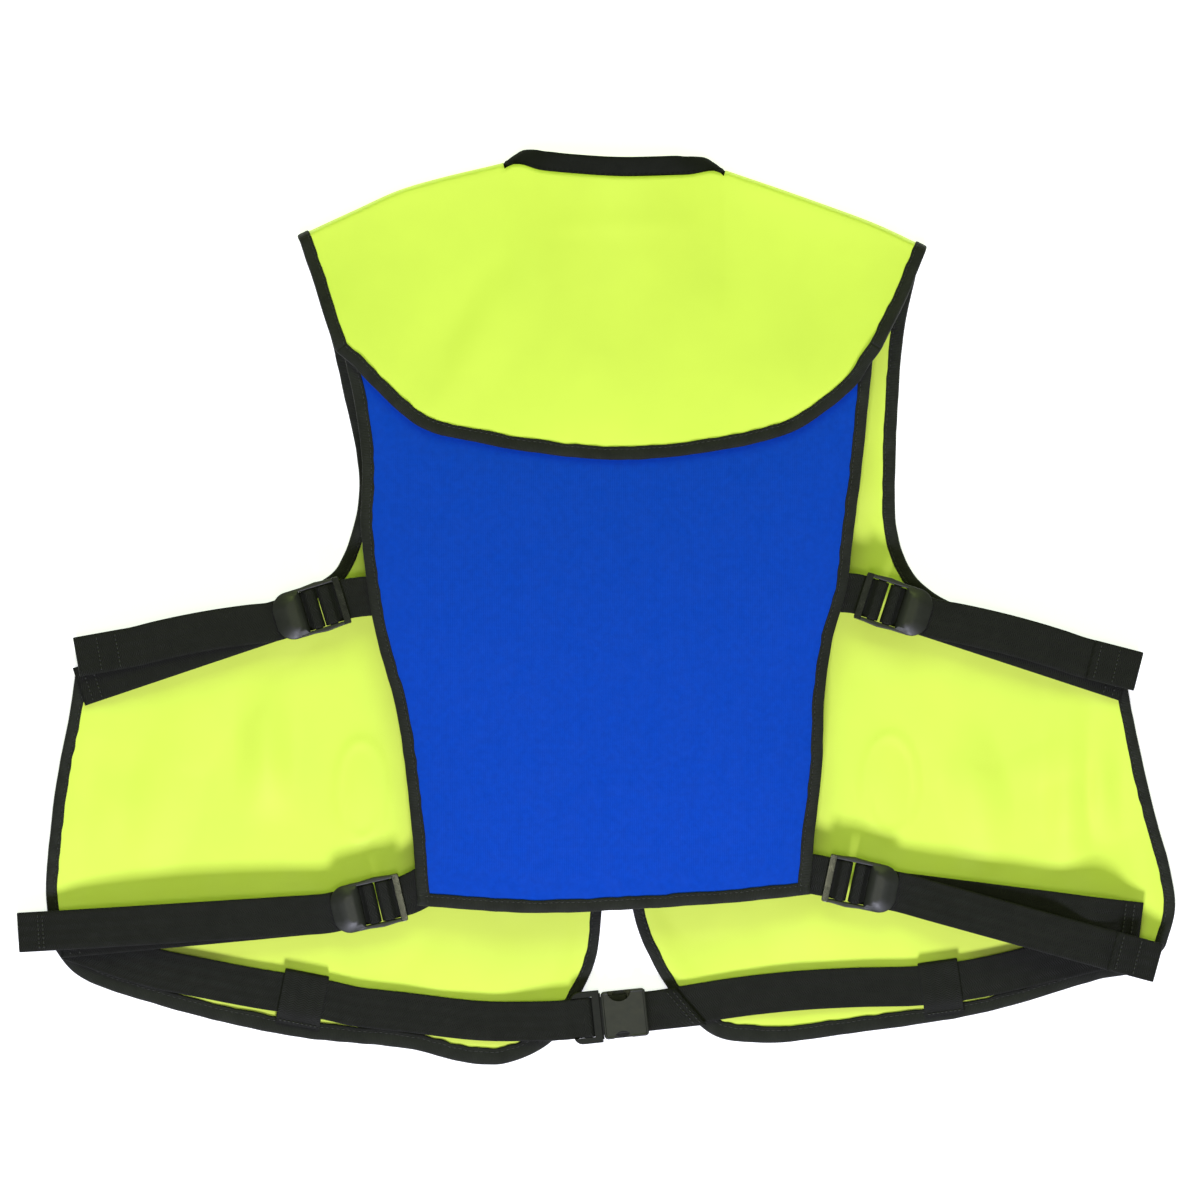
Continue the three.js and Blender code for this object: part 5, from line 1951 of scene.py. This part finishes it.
@dataclass
class ReleaseBuckle:
    """Fastened side-release buckle of the waist belt, plug to the left and socket to the right."""

    x: float = 3.5
    y: float = -257.0
    z: float = 10.8
    turn: float = 6.0
    plug_length: float = 18.5
    plug_half: float = 16.5
    plug_bar: float = -9.0
    rim: float = 3.2
    rim_high: float = 0.1
    mouth: float = 3.2
    gap: float = 0.9
    socket_length: float = 29.0
    socket_half: float = 15.0
    socket_high: float = 4.6
    window: float = 12.6
    end_slot: float = 22.4
    end_bar: float = 27.0
    end_half: float = 2.0
    end_drop: float = -0.6
    prong_in: float = 8.2
    prong_out: float = 12.0
    prong_length: float = 17.0
    prong_half: float = 0.8

    def matrix(self) -> Matrix:
        """Placing of the buckle in the row frame."""
        origin = (np.array((self.x, self.y, self.z)) + PLAN_SHIFT) * MM
        return Matrix.Translation(Vector(origin)) @ Matrix.Rotation(math.radians(self.turn), 4, "Z")

    def across(self) -> np.ndarray:
        """Direction across the belt at the buckle."""
        angle = math.radians(self.turn)
        return np.array((-math.sin(angle), math.cos(angle), 0.0))

    def place(self, spots: list[Span]) -> np.ndarray:
        """Points at (along, height) places of the buckle."""
        along = np.cross(self.across(), UP)
        return np.array([np.array((self.x, self.y, self.z)) + along * a + UP * h for a, h in spots])

    def plug(self) -> bpy.types.Mesh:
        """Slotted base with rounded shoulders, two prongs and a keel.

        Returns:
            The mesh.
        """
        body = Bench.block((-self.plug_length, -self.plug_half, -1.8), (0.0, self.plug_half, self.mouth))
        Bench.round_edges(body, lambda at, way: abs(way.z) > 0.9 and at.x < -1.0, 6.0, 8)
        Bench.soften(body, 0.6)
        slot_half = WEBBING_WIDTH / 2 + 0.25
        slot_from = -self.plug_length + self.rim
        slot = Bench.block((slot_from, -slot_half, -9.0), (-self.mouth - 1.7, slot_half, 9.0))
        Bench.combine(body, slot, "DIFFERENCE")
        notch = Bench.block((-30.0, -slot_half, self.rim_high), (slot_from + 0.1, slot_half, 9.0))
        Bench.combine(body, notch, "DIFFERENCE")
        bar = Bench.block(
            (self.plug_bar - LOCK.bar_half, -slot_half - 1.0, -LOCK.bar_radius),
            (self.plug_bar + LOCK.bar_half, slot_half + 1.0, LOCK.bar_radius),
        )
        Bench.round_edges(bar, lambda at, way: abs(way.y) > 0.9, 1.3, 5)
        Bench.combine(body, bar)
        prong = Bench.block(
            (-0.5, self.prong_in, -self.prong_half), (self.prong_length, self.prong_out, self.prong_half)
        )
        Bench.soften(prong, 0.6)
        pad = Bench.post((self.window, self.prong_out - 1.2, -1.4), (5.0, 4.2, 0.8))
        Bench.soften(pad, 0.5)
        Bench.combine(prong, pad)
        Bench.twin(prong)
        Bench.combine(body, prong)
        keel_half, lip_half = self.prong_in + 0.6, self.socket_half - 0.4
        keel = Bench.block((-0.5, -keel_half, -1.2), (self.prong_length - 2.0, keel_half, 1.2))
        Bench.combine(body, keel)
        lip = Bench.block((-0.5, -lip_half, -1.6), (self.gap - 0.15, lip_half, 0.4))
        Bench.combine(body, lip)
        return Bench.take(body, "buckle_plug")

    def socket(self) -> bpy.types.Mesh:
        """Hollow body with an oval window in each side and a bar for the webbing.

        Returns:
            The mesh.
        """
        half, high = self.socket_half, self.socket_high
        body = Bench.block((self.gap, -half, -high), (self.socket_length, half, high))
        Bench.round_edges(body, lambda at, way: abs(way.z) > 0.9, 2.4, 6)
        Bench.dome(body, ((1.2, 0.0), (0.5, -0.35)))
        Bench.soften(body, 0.7)
        for side, oval in ((1.0, (7.6, 7.2, 12.0)), (-1.0, (5.8, 5.0, 12.0))):
            window = Bench.post((self.window, side * (half + 0.4), 9.6), oval)
            Bench.combine(body, window, "DIFFERENCE")
        bay_half, inner = self.prong_out + 0.5, self.socket_high - 1.6
        bay = Bench.block((-2.0, -bay_half, -inner), (19.0, bay_half, inner))
        Bench.combine(body, bay, "DIFFERENCE")
        slot_half = WEBBING_WIDTH / 2 + 0.4
        slot = Bench.block((self.end_slot, -slot_half, -12.0), (self.socket_length + 3.0, slot_half, inner))
        Bench.combine(body, slot, "DIFFERENCE")
        bar = Bench.block(
            (self.end_bar - self.end_half, -slot_half - 1.0, self.end_drop - LOCK.bar_radius),
            (self.end_bar + self.end_half, slot_half + 1.0, self.end_drop + LOCK.bar_radius),
        )
        Bench.round_edges(bar, lambda at, way: abs(way.y) > 0.9, 1.2, 5)
        Bench.combine(body, bar)
        return Bench.take(body, "buckle_socket")

    def build(self, wardrobe: Wardrobe) -> None:
        """Set both halves in place.

        Args:
            wardrobe: Materials of the vest.
        """
        halves = (
            # the plug's plastic is darkened as painted shade
            ("buckle_plug", self.plug(), wardrobe.matt),
            ("buckle_socket", self.socket(), wardrobe.plastic),
        )
        for name, mesh, finish in halves:
            mesh.transform(self.matrix())
            mesh.materials.clear()
            mesh.materials.append(finish)
            dress(name, mesh)


BELT_RUNS: dict[Side, Rows] = {
    Side.LEFT: (
        (-331, -209.7), (-281, -226.2), (-249, -232.8), (-211, -240), (-174, -245.8), (-155, -250.4),
        (-117, -255), (-79, -259.6), (-60, -260.5),
    ),
    Side.RIGHT: (
        (326, -214), (286, -223), (242, -233), (204, -238), (167, -239), (129, -241), (91, -245),
        (68, -248.5),
    ),
}


@dataclass(frozen=True)
class BeltLoop:
    """Webbing loop that holds the belt on the hem."""

    side: Side
    x: float
    y: float
    turn: float
    width: float
    under_level: float = 4.6
    foot: float = 20.0
    foot_level: float = 5.8

    def build(self, wardrobe: Wardrobe, belt_level: float) -> None:
        """Make the loop: under the belt, round its upper edge, over it and down on the hem tape.

        Args:
            wardrobe: Materials of the vest.
            belt_level: Height of the belt.
        """
        angle = math.radians(self.turn)
        across = np.array((math.cos(angle), math.sin(angle), 0.0))
        upward = np.cross(UP, across)
        over = 2 * belt_level - self.under_level
        half = WEBBING_WIDTH / 2 + 0.2
        radius = (over - self.under_level) / 2
        turn = [(half + 0.5 * q, belt_level + h) for q, h in turn_round((0.0, 0.0), radius, -90, 90, 8)]
        spots = [(-half + 3.0, self.under_level), *turn, (0.0, over + 0.3)]
        spots += [(-half, over), (-self.foot + 2.6, self.foot_level + 0.5), (-self.foot, self.foot_level)]
        path = np.array([np.array((self.x, self.y, 0.0)) + upward * q + UP * h for q, h in spots])
        draft, sweep = ribbon(path, np.tile(across, (len(path), 1)), self.width)
        sewn = run_lengths(sweep.at)[-1] - 2.0
        row = cross_stitches(sweep, sewn, SideStrap.top_at(sweep, sewn), self.width / 2 - 1.5)
        materials = [wardrobe.webbing, wardrobe.thread]
        make_piece(f"belt_loop_{self.side.value}", [draft, row], materials)


@dataclass
class WaistBelt:
    """Waist belt of two halves, held by loops and joined by the release buckle."""

    buckle: ReleaseBuckle
    level: float = 6.5
    end_slant: float = 0.7
    loops: tuple[BeltLoop, ...] = (
        BeltLoop(Side.LEFT, -184, -243.6, -11, 28), BeltLoop(Side.RIGHT, 217, -236.4, 8, 25),
    )

    def plug_turn(self) -> np.ndarray:
        """Turn of the left half round the plug bar, with its end laid under.

        Returns:
            Points from the belt to the end.
        """
        plug = self.buckle
        upper = plug.rim_high + 0.4 + WEBBING_THICK / 2
        spots = [(-plug.plug_length - 24.0, -WRAP - 2.4), (-plug.plug_length - 4.0, -WRAP - 0.3)]
        spots += turn_round((plug.plug_bar + BAR_FLAT, 0.0), WRAP, 270, 450, 8)
        spots += turn_round((plug.plug_bar - BAR_FLAT, 0.0), WRAP, 90, 110, 2)
        spots += [(-plug.plug_length + plug.rim, upper + 0.3), (-plug.plug_length - 6.0, upper - 0.4)]
        return plug.place(spots)[::-1]

    def socket_turn(self) -> np.ndarray:
        """Turn of the right half round the socket bar, with its end laid on top.

        Returns:
            Points from the belt to the end.
        """
        socket = self.buckle
        flat = socket.end_half - LOCK.bar_radius
        top = -WRAP + LAYER_RISE
        drop, past = socket.end_drop, socket.socket_length
        spots = [(past + 6.0, -WRAP), *turn_round((socket.end_bar - flat, drop), WRAP, 270, 90, 8)]
        spots += turn_round((socket.end_bar + flat, drop), WRAP, 90, 40, 3)
        return socket.place([*spots, (past + 6.0, top), (past + 16.0, top - 0.4), (past + 28.0, top - 1.2)])

    def half(self, side: Side, turn: np.ndarray, slant: float) -> tuple[Draft, Sweep]:
        """Belt half: level run on the hem, then its turn at the buckle.

        Args:
            side: Side of the vest.
            turn: Points of the turn.
            slant: Slope of the cut end.

        Returns:
            Closed mesh of the half, and its stations.
        """
        run = spaced(BELT_RUNS[side], 18)
        lengths = run_lengths(run)
        level = self.level + 0.5 * soft_noise(lengths, 0 * lengths, 60.0, 81)
        run = np.column_stack((run, level))
        sideways = unit(np.cross(UP, headings(run)))
        across = self.buckle.across()
        facing = np.sign(np.dot(sideways[-1], across))
        wide = np.vstack((sideways, np.tile(across * facing, (len(turn), 1))))
        return ribbon(np.vstack((run, turn)), wide, slant=slant)

    def build(self, wardrobe: Wardrobe) -> None:
        """Make the belt halves, the loops and the buckle.

        Args:
            wardrobe: Materials of the vest.
        """
        materials = [wardrobe.webbing, wardrobe.thread]
        halves = (
            (Side.LEFT, self.plug_turn(), 0.0, 1.0),
            (Side.RIGHT, self.socket_turn(), self.end_slant, -1.0),
        )
        for side, turn, slant, face in halves:
            draft, sweep = self.half(side, turn, slant)
            total = run_lengths(sweep.at)[-1]
            rows = [cross_stitches(sweep, total - back, face, slant=slant) for back in (3.0, 7.0)]
            make_piece(f"belt_{side.value}", [draft, *rows], materials)
        for loop in self.loops:
            loop.build(wardrobe, self.level)
        self.buckle.build(wardrobe)


# Studio


@dataclass(frozen=True)
class Lamp:
    """Soft square light that looks at the vest, its rise in degrees counted from the hem side."""

    name: str
    rise: float
    away: float
    size: float
    power: float
    colour: Colour

    def build(self) -> None:
        """Put up the light."""
        data = bpy.data.lights.new(self.name, "AREA")
        data.energy, data.size, data.color = self.power, self.size, self.colour
        lamp = bpy.data.objects.new(self.name, data)
        angle = math.radians(self.rise)
        lamp.location = (0.0, -self.away * math.cos(angle), self.away * math.sin(angle))
        lamp.rotation_euler = (-Vector(lamp.location)).to_track_quat("-Z", "Y").to_euler()
        bpy.context.scene.collection.objects.link(lamp)


@dataclass
class Studio:
    """Pale floor, soft light from the hem side and a long lens straight above."""

    eye_height: float = 6.0
    view_width: float = 0.756
    view_middle: tuple[float, float] = (0.0022, 0.0052)
    sensor: float = 36.0
    lamps: tuple[Lamp, ...] = (
        Lamp("key", 40.0, 2.6, 0.55, 58.0, (1.0, 1.0, 1.2)),
        Lamp("top", 80.0, 3.0, 0.5, 11.0, (1.0, 1.0, 0.7)),
        Lamp("fill", 132.0, 2.6, 1.6, 30.0, (0.75, 1.0, 0.3)),
    )
    sky: float = 0.22
    sky_colour: tuple[float, float, float, float] = (0.94, 1.0, 0.7, 1.0)
    floor_glow: float = 0.7

    def build(self) -> None:
        """Set up the camera, the floor and the lights."""
        scene = bpy.context.scene
        scene.view_settings.view_transform = "Standard"
        self.camera()
        self.floor()
        for lamp in self.lamps:
            lamp.build()
        world = bpy.data.worlds.new("studio")
        world.use_nodes = True
        world.node_tree.nodes["Background"].inputs["Color"].default_value = self.sky_colour
        world.node_tree.nodes["Background"].inputs["Strength"].default_value = self.sky
        scene.world = world

    def camera(self) -> None:
        """Long lens straight above, the neck at the top of the picture."""
        data = bpy.data.cameras.new("camera")
        data.sensor_width = self.sensor
        data.lens = self.sensor * self.eye_height / self.view_width
        data.clip_end = 100.0
        camera = bpy.data.objects.new("camera", data)
        camera.location = (*self.view_middle, self.eye_height)
        bpy.context.scene.collection.objects.link(camera)
        bpy.context.scene.camera = camera

    def floor(self) -> None:
        """Pale floor that glows a little, as on a light table."""
        bpy.ops.object.select_all(action="DESELECT")
        bpy.ops.mesh.primitive_plane_add(size=30.0, location=(0.0, 0.0, -0.0002))
        floor = bpy.context.object
        floor.name = "floor"
        recipe = Recipe("pale floor")
        recipe.set("Base Color", (0.82, 0.82, 0.82, 1.0))
        recipe.set("Roughness", 0.9)
        recipe.set("Specular IOR Level", 0.1)
        recipe.set("Emission Color", (0.99, 0.99, 1.08, 1.0))
        recipe.set("Emission Strength", self.floor_glow)
        floor.data.materials.append(recipe.material)


@dataclass
class Vest:
    """The whole vest, piece by piece."""

    wardrobe: Wardrobe
    collar_cells: int = 40

    def build(self) -> None:
        """Make the panels, the tapes, the collar, the straps and the belt."""
        yoke = Yoke()
        yoke_grid = yoke.grid()
        back = BackPanel()
        back_grid = back.grid()
        seam = yoke_grid[-1] + np.array((0.0, -0.6, 0.0))
        count = yoke.shoulder_cells + 1
        seams = {Side.LEFT: seam[:count], Side.RIGHT: seam[-count:][::-1]}
        grids = {panel.side: panel.grid(seams[panel.side]) for panel in FRONT_PANELS}
        yoke.build(self.wardrobe, yoke_grid)
        back.build(self.wardrobe, back_grid)
        for panel in FRONT_PANELS:
            panel.build(self.wardrobe, grids[panel.side])
        for binding in self.bindings(yoke_grid, back_grid, grids):
            binding.build(self.wardrobe)
        collar = Collar()
        collar.build(self.wardrobe, collar.stations(yoke, yoke_grid, grids, self.collar_cells))
        lock = LadderLock().build(self.wardrobe)
        for strap in SIDE_STRAPS:
            strap.build(self.wardrobe, lock)
        WaistBelt(ReleaseBuckle()).build(self.wardrobe)

    def bindings(self, yoke: np.ndarray, back: np.ndarray, fronts: dict[Side, np.ndarray]) -> list[EdgeRun]:
        """Edge tapes of all panels.

        Args:
            yoke: Mid-surface of the yoke.
            back: Mid-surface of the back panel.
            fronts: Mid-surfaces of the front panels.

        Returns:
            The tapes, not yet built.
        """
        edges = (
            ("left", back[:, 0], back[:, 3]), ("right", back[:, -1], back[:, -4]),
            ("bottom", lengthened(back[0], 1.1), lengthened(back[3], 1.1)),
        )
        runs = [
            EdgeRun([Leg(f"back_binding_{key}", edge, inside, BACK_TAPE_REACH)], NEOPRENE_THICK)
            for key, edge, inside in edges
        ]
        armholes = {}
        for panel in FRONT_PANELS:
            side, grid = panel.side.value, fronts[panel.side]
            column, inward = (0, 2) if panel.side is Side.LEFT else (-1, -3)
            last = panel.armhole_cells + 1
            edge = np.vstack((yoke[:, column], grid[1:last, 0]))
            inside = np.vstack((yoke[:, inward], grid[1:last, 2]))
            armholes[panel.side] = (edge, inside)
            front = grid[self.collar_cells :][::-1]
            legs = [
                Leg(f"side_binding_{side}", grid[last - 1 :, 0], grid[last - 1 :, 2], FRONT_TAPE_REACH),
                Leg(f"hem_binding_{side}", grid[-1], grid[-3], *panel.hem_tape),
                Leg(f"front_edge_binding_{side}", front[:, -1], front[:, -3], EDGE_TAPE_REACH),
            ]
            runs.append(EdgeRun(legs, SHELL_THICK))
        left, right = armholes[Side.LEFT], armholes[Side.RIGHT]
        legs = [
            Leg("armhole_binding_left", left[0][::-1], left[1][::-1], ARMHOLE_TAPE_REACH),
            Leg("yoke_hem_binding", yoke[0], yoke[3], BACK_TAPE_REACH),
            Leg("armhole_binding_right", right[0], right[1], ARMHOLE_TAPE_REACH),
        ]
        runs.append(EdgeRun(legs, SHELL_THICK))
        return runs


def main() -> None:
    """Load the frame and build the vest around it."""
    logging.basicConfig(level=logging.INFO, format="%(name)s %(message)s")
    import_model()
    bpy.ops.object.select_all(action="DESELECT")
    Studio().build()
    Vest(Wardrobe.filled()).build()


if __name__ == "__main__":
    main()
